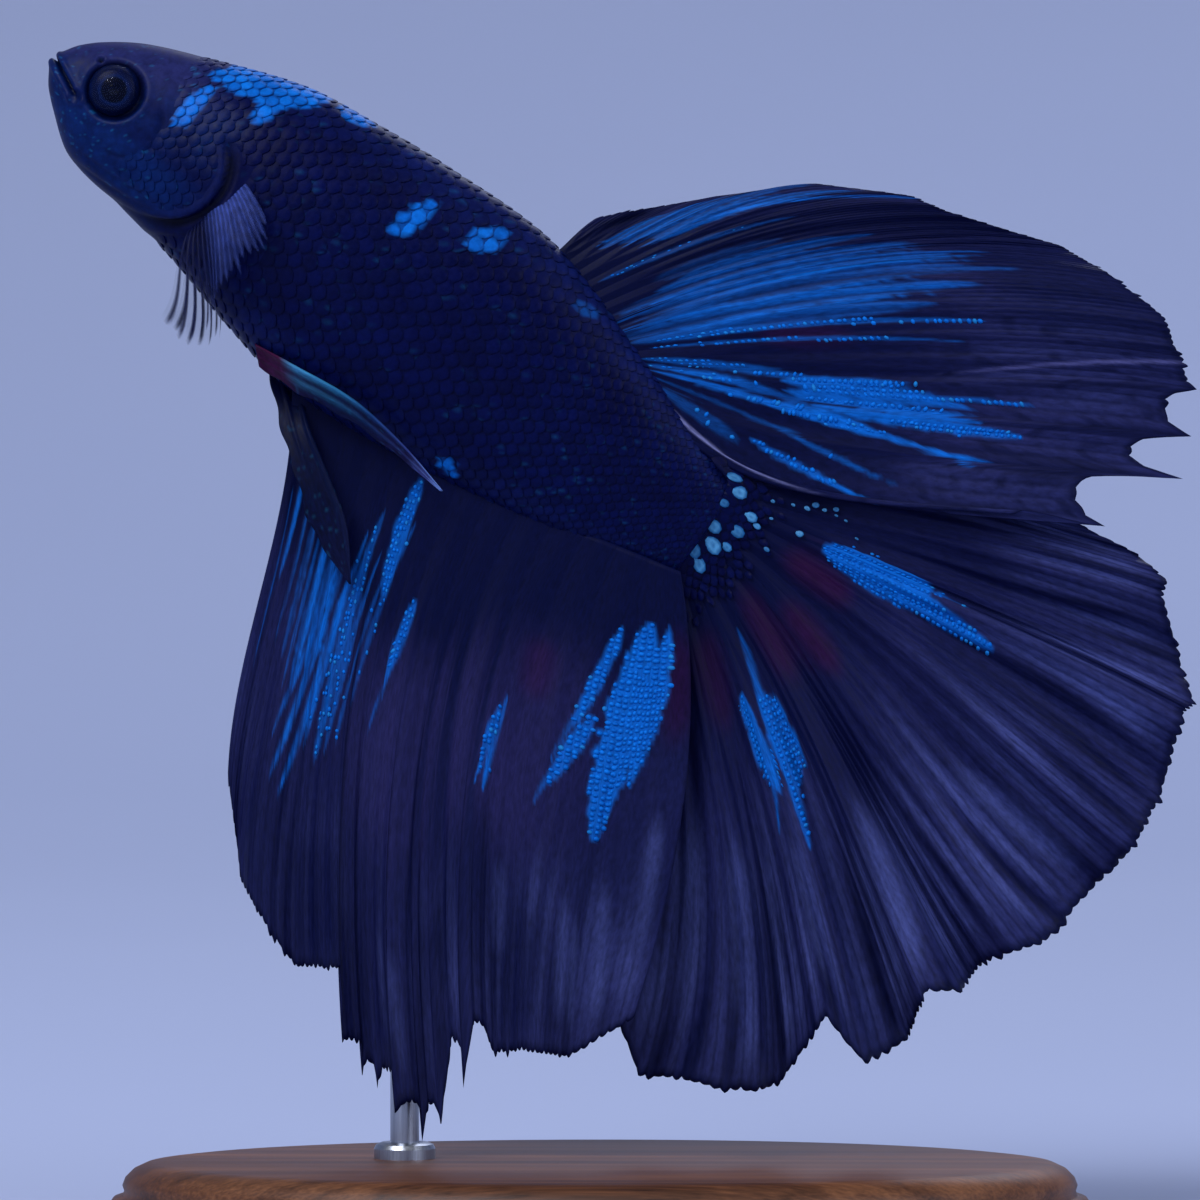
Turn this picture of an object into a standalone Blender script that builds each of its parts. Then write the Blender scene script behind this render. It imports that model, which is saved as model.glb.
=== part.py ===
"""Betta fish (Siamese fighting fish): an adult male with full, ragged rosetail fins.

A still, life-size model held by a plain display stand. The fish is modelled level in its own
frame, in millimetres: x runs from the snout to the tail, z from the belly to the back, and its
left side faces -y. One empty then tilts it head up and lifts it over the stand. The stand's
underside is at z = 0 and its centre is the origin.
"""

import math

import bmesh
import bpy
from mathutils import Matrix, Vector

MM = 0.001
GAP = 0.3

# Where the snout is, and how far the head points up.
SNOUT_PLACE = (-30.1, 0.0, 64.8)
HEAD_UP = math.radians(35.9)

# Body: how far behind the snout, height of the back, height of the belly, half the width.
BODY_LENGTH = 44.8
BODY_STATIONS = (
    (0.0, 0.5, -0.8, 1.0),
    (1.7, 2.2, -2.4, 1.9),
    (4.0, 3.7, -4.0, 2.7),
    (8.5, 5.6, -4.7, 3.5),
    (12.5, 6.95, -5.45, 3.9),
    (16.5, 7.5, -6.5, 4.0),
    (21.0, 7.9, -7.3, 3.8),
    (28.5, 7.9, -6.8, 3.2),
    (37.0, 5.4, -5.4, 2.2),
    (41.0, 3.95, -4.4, 1.6),
    (44.8, 3.1, -3.5, 1.2),
)
WIDEST_HEIGHT = 0.48
SECTION_FULLNESS = 2.15
BODY_SIDES = 24
BODY_RINGS = 36

# Thin cuts that part the body.
NECK_X = 12.4
TAIL_BASE_X = 37.4
JAW_OUTLINE = ((-2.0, 0.25), (0.9, -0.05), (2.3, -1.0), (4.6, -6.0), (-2.0, -6.0))
GILL_COVER_CENTRE = (8.9, -0.9)
GILL_COVER_RADIUS = 2.9
GILL_COVER_DEPTH = 2.2
GILL_COVER_SIDES = 24

EYE_CENTRE = (4.1, 1.75, 0.4)
EYE_RADIUS = 1.55

# Fins: each row is a ray's place along the fin from 0 to 1, its tip in x and z, and the
# directions in degrees in which it leaves the body and arrives at the tip (0 is tailward).
DORSAL_BASE = (28.7, 37.2)
DORSAL_RAYS = (
    (0.00, 29.5, 10.4, 75, 65),
    (0.06, 31.2, 12.2, 72, 58),
    (0.13, 34.1, 15.2, 68, 45),
    (0.20, 38.1, 18.9, 66, 36),
    (0.28, 42.6, 21.3, 64, 33),
    (0.36, 45.0, 21.9, 62, 31),
    (0.50, 51.1, 24.1, 60, 28),
    (0.60, 53.9, 24.3, 58, 26),
    (0.70, 57.9, 24.1, 48, 26),
    (0.775, 60.1, 22.9, 40, 27),
    (0.825, 61.7, 22.0, 32, 28),
    (0.85, 60.8, 20.4, 28, 28),
    (0.875, 63.1, 19.8, 22, 29),
    (0.90, 60.8, 17.2, 16, 29),
    (0.925, 64.1, 17.6, 8, 30),
    (0.95, 59.6, 13.6, -4, 31),
    (0.975, 62.2, 12.9, -20, 31),
    (1.00, 57.7, 10.6, -34, 32),
)
CAUDAL_ROOT = (45.3, 3.3)
CAUDAL_RAYS = (
    (0.00, 60.6, 12.2, 52, 26),
    (0.04, 64.3, 12.8, 38, 20),
    (0.08, 66.6, 12.6, 26, 17),
    (0.11, 67.0, 11.6, 20, 15),
    (0.20, 71.8, 8.0, 14, 9),
    (0.24, 71.6, 7.1, 12, 7),
    (0.31, 73.4, 2.9, 8, 2),
    (0.40, 73.6, -1.8, 3, -4),
    (0.48, 72.8, -7.4, -4, -12),
    (0.53, 70.9, -10.0, -8, -18),
    (0.60, 70.7, -12.3, -13, -25),
    (0.63, 69.0, -13.6, -16, -29),
    (0.70, 70.0, -16.3, -21, -36),
    (0.74, 68.6, -18.7, -25, -42),
    (0.77, 65.4, -17.9, -28, -45),
    (0.84, 65.7, -22.4, -34, -53),
    (0.87, 64.8, -23.5, -38, -58),
    (0.92, 61.9, -24.9, -43, -66),
    (0.98, 59.0, -26.6, -56, -73),
    (1.00, 56.2, -24.6, -64, -72),
)
ANAL_BASE = (21.6, 44.6)
ANAL_RAYS = (
    (0.00, 31.0, -26.4, -50, -56),
    (0.08, 35.0, -30.7, -56, -54),
    (0.14, 37.0, -31.6, -62, -53),
    (0.21, 40.2, -32.8, -68, -52),
    (0.31, 42.2, -31.3, -74, -51),
    (0.34, 44.7, -34.6, -76, -50),
    (0.40, 46.8, -35.7, -79, -49),
    (0.50, 49.4, -36.1, -82, -49),
    (0.56, 51.5, -36.5, -83, -49),
    (0.60, 51.9, -35.3, -84, -49),
    (0.65, 49.5, -30.9, -85, -50),
    (0.69, 51.5, -32.5, -85, -50),
    (0.71, 49.9, -29.4, -85, -51),
    (0.76, 51.8, -30.2, -84, -52),
    (0.83, 53.0, -29.1, -80, -55),
    (0.93, 55.3, -27.9, -64, -62),
    (1.00, 56.9, -24.1, -44, -72),
)
PECTORAL_BASE = ((13.0, -0.1), (12.7, -3.4))
PECTORAL_RAYS = (
    (0.00, 15.4, -1.2, -20, -30),
    (0.30, 16.9, -3.4, -35, -40),
    (0.60, 17.2, -6.6, -55, -58),
    (0.80, 15.8, -8.2, -70, -72),
    (1.00, 13.6, -8.0, -88, -95),
)
# Pelvic fins: the leading edge and the trailing edge, from the root to the tip, as x, y, z.
PELVIC_LEFT = (
    ((18.6, -2.0, -6.6), (20.8, -3.1, -6.0), (24.6, -3.3, -5.6), (28.2, -3.1, -6.0), (31.5, -3.0, -6.8)),
    ((19.3, -1.7, -7.4), (22.0, -2.7, -7.3), (25.0, -3.1, -7.1), (28.2, -3.1, -7.0), (31.2, -3.0, -7.1)),
)
PELVIC_RIGHT = (
    ((20.9, 0.9, -8.0), (23.0, -1.0, -8.6), (25.6, -1.5, -9.6), (28.3, -1.8, -11.4), (30.4, -1.9, -13.7)),
    ((19.9, 0.6, -8.0), (22.2, -0.8, -9.2), (24.6, -1.4, -11.0), (27.1, -1.7, -12.8), (30.1, -1.9, -14.0)),
)
FIN_ROOT_THICK = 0.8
FIN_EDGE_THICK = 0.5
SMALL_FIN_THICK = 0.5
RAY_NOTCH = 0.55

# Stand: an oval base, one rod on the fish's far side and the collar at its foot.
BASE_SIZE = (54.0, 36.0, 4.0)
BASE_SIDES = 56
BASE_EDGE = 0.8
ROD_RADIUS = 0.8
ROD_PLACE = (-10.8, 2.15)
ROD_FOOT = 1.2
ROD_TOP = 49.2
ROD_SIDES = 16
COLLAR_RADIUS = 1.7
COLLAR_HEIGHT = 0.6


def finish(name, red, green, blue, roughness, metallic=0.0):
    """A plain material of one colour."""
    material = bpy.data.materials.new(name)
    material.use_nodes = True
    shader = material.node_tree.nodes["Principled BSDF"]
    shader.inputs["Base Color"].default_value = (red, green, blue, 1.0)
    shader.inputs["Roughness"].default_value = roughness
    shader.inputs["Metallic"].default_value = metallic
    return material


def add_object(name, shape, material, parent=None):
    """Turn a bmesh in millimetres into a named object."""
    bmesh.ops.scale(shape, vec=(MM, MM, MM), verts=shape.verts[:])
    bmesh.ops.recalc_face_normals(shape, faces=shape.faces[:])
    mesh = bpy.data.meshes.new(name)
    shape.to_mesh(mesh)
    shape.free()
    mesh.shade_smooth()
    mesh.set_sharp_from_angle(angle=math.radians(40))
    thing = bpy.data.objects.new(name, mesh)
    if material:
        mesh.materials.append(material)
    thing.parent = parent
    bpy.context.collection.objects.link(thing)
    return thing


def add_cutter(name, shape, parent=None):
    """A helper solid that only cuts other solids."""
    cutter = add_object(name, shape, None, parent)
    cutter.hide_render = True
    cutter.display_type = "WIRE"
    return cutter


def cut(thing, cutter, operation="DIFFERENCE"):
    """Cut a solid by a helper, or keep only what lies inside the helper."""
    modifier = thing.modifiers.new(cutter.name, "BOOLEAN")
    modifier.operation = operation
    modifier.solver = "EXACT"
    modifier.object = cutter


def blend_rows(rows, place, smooth):
    """Read a table at a place between its rows: smoothly, or along straight lines."""
    last = len(rows) - 2
    at = next((i for i in range(last) if place < rows[i + 1][0]), last)
    before, after = rows[at], rows[at + 1]
    span = after[0] - before[0]
    share = min(max((place - before[0]) / span, 0.0), 1.0)
    if not smooth:
        return [a + (b - a) * share for a, b in zip(before[1:], after[1:])]
    previous, following = rows[max(at - 1, 0)], rows[min(at + 2, last + 1)]
    values = []
    for column in range(1, len(before)):
        start, end = before[column], after[column]
        slope_in = (end - previous[column]) / (after[0] - previous[0]) * span
        slope_out = (following[column] - start) / (following[0] - before[0]) * span
        values.append(hermite(start, slope_in, end, slope_out, share))
    return values


def hermite(start, leaving, end, arriving, share):
    """A smooth path from start to end with the given slopes."""
    s2, s3 = share * share, share ** 3
    return (
        start * (2 * s3 - 3 * s2 + 1)
        + leaving * (s3 - 2 * s2 + share)
        + end * (3 * s2 - 2 * s3)
        + arriving * (s3 - s2)
    )


def rounded(value):
    """Widen a circle's sine or cosine into the body's fuller oval."""
    return math.copysign(abs(value) ** (2 / SECTION_FULLNESS), value)


def body_point(x, angle):
    """A point of the skin at station x; the angle runs from the left side over the back."""
    top, bottom, half_width = blend_rows(BODY_STATIONS, x, True)
    middle = bottom + (top - bottom) * WIDEST_HEIGHT
    across, up = rounded(math.cos(angle)), rounded(math.sin(angle))
    reach = top - middle if up > 0 else middle - bottom
    return Vector((x, -half_width * across, middle + reach * up))


def whole_body():
    """The head, trunk and tail base as one closed shape."""
    shape = bmesh.new()
    bmesh.ops.create_uvsphere(
        shape, u_segments=BODY_SIDES, v_segments=BODY_RINGS, radius=1.0
    )
    for vertex in shape.verts:
        x = BODY_LENGTH * (1.0 - vertex.co.z) / 2
        if abs(vertex.co.z) > 0.99999:
            middle = (body_point(x, math.pi / 2).z + body_point(x, -math.pi / 2).z) / 2
            vertex.co = (x, 0.0, middle)
        else:
            vertex.co = body_point(x, math.atan2(vertex.co.y, vertex.co.x))
    return shape


def keep_between(shape, front, back):
    """Cut the body straight across and keep the length from front to back, closed again."""
    for x, side in ((front, -1), (back, 1)):
        if x is None:
            continue
        geometry = shape.verts[:] + shape.edges[:] + shape.faces[:]
        bmesh.ops.bisect_plane(
            shape, geom=geometry, dist=0.0001, plane_co=(x, 0, 0), plane_no=(side, 0, 0),
            clear_outer=True,
        )
        rim = [edge for edge in shape.edges if edge.is_boundary]
        bmesh.ops.contextual_create(shape, geom=rim)
    return shape


def prism(outline, near, far):
    """An outline in x and z, drawn out from y = near to y = far."""
    shape = bmesh.new()
    corners = [shape.verts.new((x, near, z)) for x, z in outline]
    face = shape.faces.new(corners)
    drawn = bmesh.ops.extrude_face_region(shape, geom=[face], use_keep_orig=True)
    moved = [item for item in drawn["geom"] if isinstance(item, bmesh.types.BMVert)]
    bmesh.ops.translate(shape, vec=(0, far - near, 0), verts=moved)
    return shape


def grown(outline, distance):
    """Move an outline's corners outward from its middle, to leave a gap round what it holds."""
    middle_x = sum(x for x, _ in outline) / len(outline)
    middle_z = sum(z for _, z in outline) / len(outline)
    corners = []
    for x, z in outline:
        away = Vector((x - middle_x, z - middle_z))
        away += away.normalized() * distance * 1.4
        corners.append((middle_x + away.x, middle_z + away.y))
    return corners


def gill_outline(radius):
    """The round outline of a gill cover."""
    turns = [2 * math.pi * i / GILL_COVER_SIDES for i in range(GILL_COVER_SIDES)]
    centre_x, centre_z = GILL_COVER_CENTRE
    return [(centre_x + radius * math.cos(t), centre_z + radius * math.sin(t)) for t in turns]


def ball(centre, radius, sides=12, rings=8):
    """A round body, with its poles on the y axis."""
    shape = bmesh.new()
    turn = Matrix.Translation(centre) @ Matrix.Rotation(math.pi / 2, 4, "X")
    bmesh.ops.create_uvsphere(
        shape, u_segments=sides, v_segments=rings, radius=radius, matrix=turn
    )
    return shape


def rod(radius, low, high, sides, x=0.0, y=0.0):
    """An upright round bar."""
    shape = bmesh.new()
    place = Matrix.Translation((x, y, (low + high) / 2))
    bmesh.ops.create_cone(
        shape, cap_ends=True, segments=sides, radius1=radius, radius2=radius,
        depth=high - low, matrix=place,
    )
    return shape


def thicken(shape, thickness_at):
    """Give a sheet two sides: each point moves apart along y by its own thickness."""
    half = {v: thickness_at(v) / 2 for v in shape.verts}
    order = list(shape.verts)
    drawn = bmesh.ops.extrude_face_region(shape, geom=shape.faces[:], use_keep_orig=True)
    moved = [item for item in drawn["geom"] if isinstance(item, bmesh.types.BMVert)]
    twin_of = {tuple(v.co): half[v] for v in order}
    for vertex in moved:
        vertex.co.y += twin_of[tuple(vertex.co)]
    for vertex in order:
        vertex.co.y -= half[vertex]
    return shape


def ray_point(root, row, along):
    """A point on a fin ray, from the root at 0 to the tip at 1, in x and z."""
    tip_x, tip_z, leaving, arriving = row
    length = math.hypot(tip_x - root[0], tip_z - root[1])
    leave, arrive = math.radians(leaving), math.radians(arriving)
    x = hermite(root[0], length * math.cos(leave), tip_x, length * math.cos(arrive), along)
    z = hermite(root[1], length * math.sin(leave), tip_z, length * math.sin(arrive), along)
    return x, z


def ray_fin(root_at, rows, columns, steps, depth_at, root_thick, edge_thick, notch=RAY_NOTCH):
    """A fan of rays joined by membrane: every second column is a ray and ends in a point."""
    shape = bmesh.new()
    bmesh.ops.create_grid(shape, x_segments=columns, y_segments=steps, size=0.5)
    thickness = {}
    for vertex in shape.verts:
        across, along = vertex.co.x + 0.5, vertex.co.y + 0.5
        column = round(across * columns)
        root = root_at(across)
        row = blend_rows(rows, across, False)
        length = math.hypot(row[0] - root[0], row[1] - root[1])
        hollow = notch * (0.7 + 0.3 * math.sin(column * 1.9)) if column % 2 == 0 else 0.0
        reach = along * (1.0 - min(hollow / length, 0.3))
        x, z = ray_point(root, row, reach)
        vertex.co = (x, depth_at(across, along), z)
        thickness[vertex] = root_thick + (edge_thick - root_thick) * along
    return thicken(shape, lambda vertex: thickness[vertex])


def fade_at_ends(across, share=0.08):
    """1 in the middle of a fin and 0 at its first and last ray."""
    return min(1.0, across / share, (1.0 - across) / share)


def along_back(across):
    x = DORSAL_BASE[0] + (DORSAL_BASE[1] - DORSAL_BASE[0]) * across
    return x, body_point(x, math.pi / 2).z + GAP


def along_belly(across):
    x = ANAL_BASE[0] + (ANAL_BASE[1] - ANAL_BASE[0]) * across
    return x, body_point(x, -math.pi / 2).z - GAP


def round_tail(across):
    bulge = 0.6 * math.sin(math.pi * across)
    return CAUDAL_ROOT[0] + bulge, CAUDAL_ROOT[1] * (1.0 - 2.0 * across)


def dorsal_depth(across, along):
    wave = 0.8 * math.sin(across * 5 * math.pi) * along ** 1.5
    return wave * fade_at_ends(across) - 1.3 * across ** 2 * along ** 0.7


def caudal_depth(across, along):
    wave = 1.5 * math.sin(across * 15 * math.pi) * along ** 1.6
    return wave * fade_at_ends(across) + 0.5 * across + 0.5 * along


def anal_depth(across, along):
    wave = 0.7 * math.sin(across * 11 * math.pi) * along ** 1.5
    return wave * fade_at_ends(across) - 0.9 * across ** 2


def pectoral_fin(side):
    """A small open fan behind the gill cover; side is -1 for the left and 1 for the right."""
    upper, lower = PECTORAL_BASE

    def root_at(across):
        return (
            upper[0] + (lower[0] - upper[0]) * across,
            upper[1] + (lower[1] - upper[1]) * across,
        )

    def depth_at(across, along):
        x, z = root_at(across)
        flank = -body_point(x, math.asin(z / 8.0)).y
        return side * (flank + 0.65 + 1.0 * along - 0.5 * across)

    return ray_fin(root_at, PECTORAL_RAYS, 12, 3, depth_at, SMALL_FIN_THICK, SMALL_FIN_THICK, 0.3)


def pelvic_fin(leading, trailing, widths=3, steps=9):
    """A narrow blade between two edges that meet in a point."""
    shape = bmesh.new()
    bmesh.ops.create_grid(shape, x_segments=widths, y_segments=steps, size=0.5)

    def edge_point(points, along):
        rows = [(i / (len(points) - 1), *point) for i, point in enumerate(points)]
        return Vector(blend_rows(rows, along, True))

    for vertex in shape.verts:
        across, along = vertex.co.x + 0.5, vertex.co.y + 0.5
        vertex.co = edge_point(leading, along).lerp(edge_point(trailing, along), across)
    return thicken(shape, lambda vertex: SMALL_FIN_THICK)


def build_body(pose, skin, eye_finish):
    """The head with its jaw, gill covers and eyes, then the trunk and the tail base."""
    head = add_object("head", keep_between(whole_body(), None, NECK_X), skin, pose)
    trunk = add_object(
        "trunk", keep_between(whole_body(), NECK_X + GAP, TAIL_BASE_X), skin, pose
    )
    add_object(
        "tail_base", keep_between(whole_body(), TAIL_BASE_X + GAP, None), skin, pose
    )

    jaw = add_object("lower_jaw", keep_between(whole_body(), None, NECK_X), skin, pose)
    cut(jaw, add_cutter("jaw_inside", prism(JAW_OUTLINE, -6, 6), pose), "INTERSECT")
    cut(head, add_cutter("jaw_room", prism(grown(JAW_OUTLINE, GAP), -6, 6), pose))

    for name, side in (("left", -1), ("right", 1)):
        cover = add_object(
            "gill_cover_" + name, keep_between(whole_body(), None, NECK_X), skin, pose
        )
        near, far = side * GILL_COVER_DEPTH, side * 8.0
        inside = prism(gill_outline(GILL_COVER_RADIUS), near, far)
        cut(cover, add_cutter("gill_inside_" + name, inside, pose), "INTERSECT")
        room = prism(gill_outline(GILL_COVER_RADIUS + GAP), near - side * GAP, far)
        cut(head, add_cutter("gill_room_" + name, room, pose))

        centre = (EYE_CENTRE[0], side * EYE_CENTRE[1], EYE_CENTRE[2])
        add_object("eye_" + name, ball(centre, EYE_RADIUS), eye_finish, pose)
        socket = ball(centre, EYE_RADIUS + GAP, 16, 10)
        cut(head, add_cutter("eye_socket_" + name, socket, pose))
    return trunk


def build_fins(pose, membrane, clear_membrane):
    """The unpaired fins, then the two pairs."""
    dorsal = ray_fin(
        along_back, DORSAL_RAYS, 40, 7, dorsal_depth, FIN_ROOT_THICK, FIN_EDGE_THICK
    )
    add_object("dorsal_fin", dorsal, membrane, pose)
    caudal = ray_fin(
        round_tail, CAUDAL_RAYS, 60, 7, caudal_depth, FIN_ROOT_THICK, FIN_EDGE_THICK
    )
    add_object("caudal_fin", caudal, membrane, pose)
    anal = ray_fin(
        along_belly, ANAL_RAYS, 52, 7, anal_depth, FIN_ROOT_THICK, FIN_EDGE_THICK
    )
    add_object("anal_fin", anal, membrane, pose)
    add_object("pelvic_fin_left", pelvic_fin(*PELVIC_LEFT), membrane, pose)
    add_object("pelvic_fin_right", pelvic_fin(*PELVIC_RIGHT), membrane, pose)
    add_object("pectoral_fin_left", pectoral_fin(-1), clear_membrane, pose)
    add_object("pectoral_fin_right", pectoral_fin(1), clear_membrane, pose)


def build_stand(trunk, wood, steel):
    """The oval base with its rod, which goes up into the far side of the trunk."""
    length, width, height = BASE_SIZE
    base = rod(length / 2, 0.0, height, BASE_SIDES)
    bmesh.ops.scale(base, vec=(1.0, width / length, 1.0), verts=base.verts[:])
    top_rim = [
        edge for edge in base.edges if all(vertex.co.z > height - 0.01 for vertex in edge.verts)
    ]
    bmesh.ops.bevel(
        base, geom=top_rim, offset=BASE_EDGE, segments=2, profile=0.5, affect="EDGES",
        material=-1,
    )
    base = add_object("stand_base", base, wood)
    x, y = ROD_PLACE
    add_object("stand_rod", rod(ROD_RADIUS, ROD_FOOT, ROD_TOP, ROD_SIDES, x, y), steel)
    room = ROD_RADIUS + GAP
    foot = rod(room, ROD_FOOT - GAP, height + 1.0, ROD_SIDES, x, y)
    cut(base, add_cutter("rod_hole_in_base", foot))
    head_room = rod(room, ROD_TOP - 12.0, ROD_TOP + GAP, ROD_SIDES, x, y)
    cut(trunk, add_cutter("rod_hole_in_trunk", head_room))

    low = height + GAP
    collar = add_object(
        "stand_collar", rod(COLLAR_RADIUS, low, low + COLLAR_HEIGHT, 24, x, y), steel
    )
    bore = rod(room, height, low + COLLAR_HEIGHT + 1.0, ROD_SIDES, x, y)
    cut(collar, add_cutter("collar_bore", bore))


for old in list(bpy.data.objects):
    bpy.data.objects.remove(old)

fish_pose = bpy.data.objects.new("fish_pose", None)
fish_pose.location = Vector(SNOUT_PLACE) * MM
fish_pose.rotation_euler = (0.0, HEAD_UP, 0.0)
bpy.context.collection.objects.link(fish_pose)

skin_finish = finish("dark blue skin", 0.004, 0.012, 0.045, 0.45)
fin_finish = finish("dark fin membrane", 0.012, 0.016, 0.060, 0.50)
clear_finish = finish("pale fin membrane", 0.10, 0.14, 0.30, 0.45)
pupil_finish = finish("eye", 0.003, 0.004, 0.010, 0.12)
wood_finish = finish("walnut", 0.10, 0.050, 0.024, 0.45)
steel_finish = finish("steel", 0.55, 0.56, 0.58, 0.30, 1.0)

fish_trunk = build_body(fish_pose, skin_finish, pupil_finish)
build_fins(fish_pose, fin_finish, clear_finish)
build_stand(fish_trunk, wood_finish, steel_finish)
bpy.context.view_layer.update()
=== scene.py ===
"""An adult male betta fish on a plain display stand: its skin, scales, eyes, fins and finishes.

The fish is shaped level in its own frame, in millimetres: x runs from the snout to the tail,
z from the belly to the back, and its left side faces -y. It is then set in its pose.
"""

import json
import math

import bmesh
import bpy
import numpy as np
from mathutils import Matrix, Vector


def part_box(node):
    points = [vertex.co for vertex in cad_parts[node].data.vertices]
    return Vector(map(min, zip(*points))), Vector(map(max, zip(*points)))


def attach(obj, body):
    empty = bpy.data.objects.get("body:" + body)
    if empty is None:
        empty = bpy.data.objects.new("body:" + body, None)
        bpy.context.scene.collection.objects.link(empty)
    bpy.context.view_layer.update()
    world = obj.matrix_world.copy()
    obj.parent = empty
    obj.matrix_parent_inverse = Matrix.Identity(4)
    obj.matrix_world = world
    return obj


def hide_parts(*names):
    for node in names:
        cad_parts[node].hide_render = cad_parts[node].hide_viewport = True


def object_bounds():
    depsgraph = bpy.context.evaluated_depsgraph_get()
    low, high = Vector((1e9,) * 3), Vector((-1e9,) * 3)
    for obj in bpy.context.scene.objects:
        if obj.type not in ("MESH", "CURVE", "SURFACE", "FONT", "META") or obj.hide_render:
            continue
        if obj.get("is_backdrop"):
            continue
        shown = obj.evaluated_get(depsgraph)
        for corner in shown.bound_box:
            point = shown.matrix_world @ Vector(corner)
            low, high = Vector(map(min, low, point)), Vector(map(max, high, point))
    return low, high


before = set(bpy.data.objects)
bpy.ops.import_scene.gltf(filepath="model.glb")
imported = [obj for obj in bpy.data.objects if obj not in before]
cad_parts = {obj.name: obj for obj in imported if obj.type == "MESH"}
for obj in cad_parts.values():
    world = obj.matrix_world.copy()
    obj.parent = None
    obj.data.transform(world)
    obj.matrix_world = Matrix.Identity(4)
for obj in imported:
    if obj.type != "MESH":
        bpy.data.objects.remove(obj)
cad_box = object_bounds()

# ------------------------------------------------------------
# Stand base: an oval foot of oiled walnut. It is turned with a bead and a cove round its side
# and a softened top, with the grain running along its length.

MM = 0.001
WALNUT = ((0.34, (46, 26, 15)), (0.50, (92, 56, 34)), (0.66, (130, 84, 52)))
BASE_EDGE = (
    (-0.5, 0.0), (0.0, 0.5), (0.0, 1.7), (-0.25, 2.05), (-0.75, 2.2), (-0.85, 2.45),
    (-0.75, 2.75), (-0.9, 3.15), (-1.35, 3.6), (-2.0, 3.9), (-2.9, 4.0),
)
BASE_STEPS = 144


def dye(tone):
    """A colour given as 0 to 255 on a screen, as the shader's own linear numbers."""
    shares = [value / 255 for value in tone]
    return tuple(s / 12.92 if s <= 0.04045 else ((s + 0.055) / 1.055) ** 2.4 for s in shares)


def feed(node, feeds):
    """Set the inputs of a shader node, each to a plain value or by a link from an output."""
    for name, value in feeds.items():
        if isinstance(value, bpy.types.NodeSocket):
            node.id_data.links.new(value, node.inputs[name])
        else:
            node.inputs[name].default_value = value


def feed_shader(material, **feeds):
    """Set the inputs of a material's shader; an underscore stands for a space."""
    shader = material.node_tree.nodes["Principled BSDF"]
    feed(shader, {name.replace("_", " "): value for name, value in feeds.items()})


def add_node(material, kind, feeds=(), output=0, **settings):
    """Add a shader node, feed its inputs and give back one of its outputs."""
    made = material.node_tree.nodes.new(kind)
    for name, value in settings.items():
        setattr(made, name, value)
    feed(made, dict(feeds))
    return made.outputs[output]


def new_finish(name, roughness, specular=0.5, metallic=0.0):
    """A material with the plain numbers of its shader set."""
    material = bpy.data.materials.new(name)
    material.use_nodes = True
    feed_shader(material, Roughness=roughness, Metallic=metallic, Specular_IOR_Level=specular)
    return material


def noise_on(material, scale, detail=3.0, roughness=0.5, distortion=0.0, uv_map=None):
    """A grey noise in the piece's own space or on its map, in repeats along each direction."""
    if uv_map:
        place = add_node(material, "ShaderNodeUVMap", uv_map=uv_map)
    else:
        place = add_node(material, "ShaderNodeTexCoord", output="Object")
    stretched = add_node(material, "ShaderNodeMapping", {"Vector": place, "Scale": scale})
    feeds = {
        "Vector": stretched, "Scale": 1.0, "Detail": detail, "Roughness": roughness,
        "Distortion": distortion,
    }
    return add_node(material, "ShaderNodeTexNoise", feeds)


def colour_by(material, value, stops):
    """Colour a material along a value from 0 to 1; stops gives each place and its tone."""
    ramp = add_node(material, "ShaderNodeValToRGB", {0: value})
    elements = ramp.node.color_ramp.elements
    while len(elements) < len(stops):
        elements.new(0.5)
    for element, (place, tone) in zip(elements, stops):
        element.position = place
        element.color = (*dye(tone), 1.0)
    feed_shader(material, Base_Color=ramp)


def range_on(material, value, low, high, least=0.0, most=1.0):
    """A value turned from one range into another."""
    feeds = {"Value": value, 1: least, 2: most, 3: low, 4: high}
    return add_node(material, "ShaderNodeMapRange", feeds)


def relieve(material, value, strength, depth, low, high, least=0.0, most=1.0):
    """Fine relief, depth millimetres deep, and a roughness from low to high, by a grey value."""
    feeds = {"Height": value, "Strength": strength, "Distance": depth * MM}
    rough = range_on(material, value, low, high, least, most)
    feed_shader(material, Roughness=rough, Normal=add_node(material, "ShaderNodeBump", feeds))


def faced_out(shape):
    """The shape with all its faces pointing outward."""
    bmesh.ops.recalc_face_normals(shape, faces=shape.faces[:])
    return shape


def turned(profile, steps, closed=False):
    """A round piece spun about z from its profile, given as radius and height."""
    shape = bmesh.new()
    points = [shape.verts.new((radius, 0.0, height)) for radius, height in profile]
    ends = points[1:] + points[:1] if closed else points[1:]
    edges = [shape.edges.new(pair) for pair in zip(points, ends)]
    bmesh.ops.spin(
        shape, geom=points + edges, cent=(0, 0, 0), axis=(0, 0, 1), dvec=(0, 0, 0),
        angle=2 * math.pi, steps=steps, use_merge=True, use_duplicate=False,
    )
    bmesh.ops.remove_doubles(shape, verts=shape.verts[:], dist=0.0001)
    return faced_out(shape)


def to_mesh(name, shape):
    """The mesh of a finished shape."""
    mesh = bpy.data.meshes.new(name)
    shape.to_mesh(mesh)
    shape.free()
    return mesh


def add_object(name, data):
    """A new object in the scene."""
    made = bpy.data.objects.new(name, data)
    bpy.context.scene.collection.objects.link(made)
    return made


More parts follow.
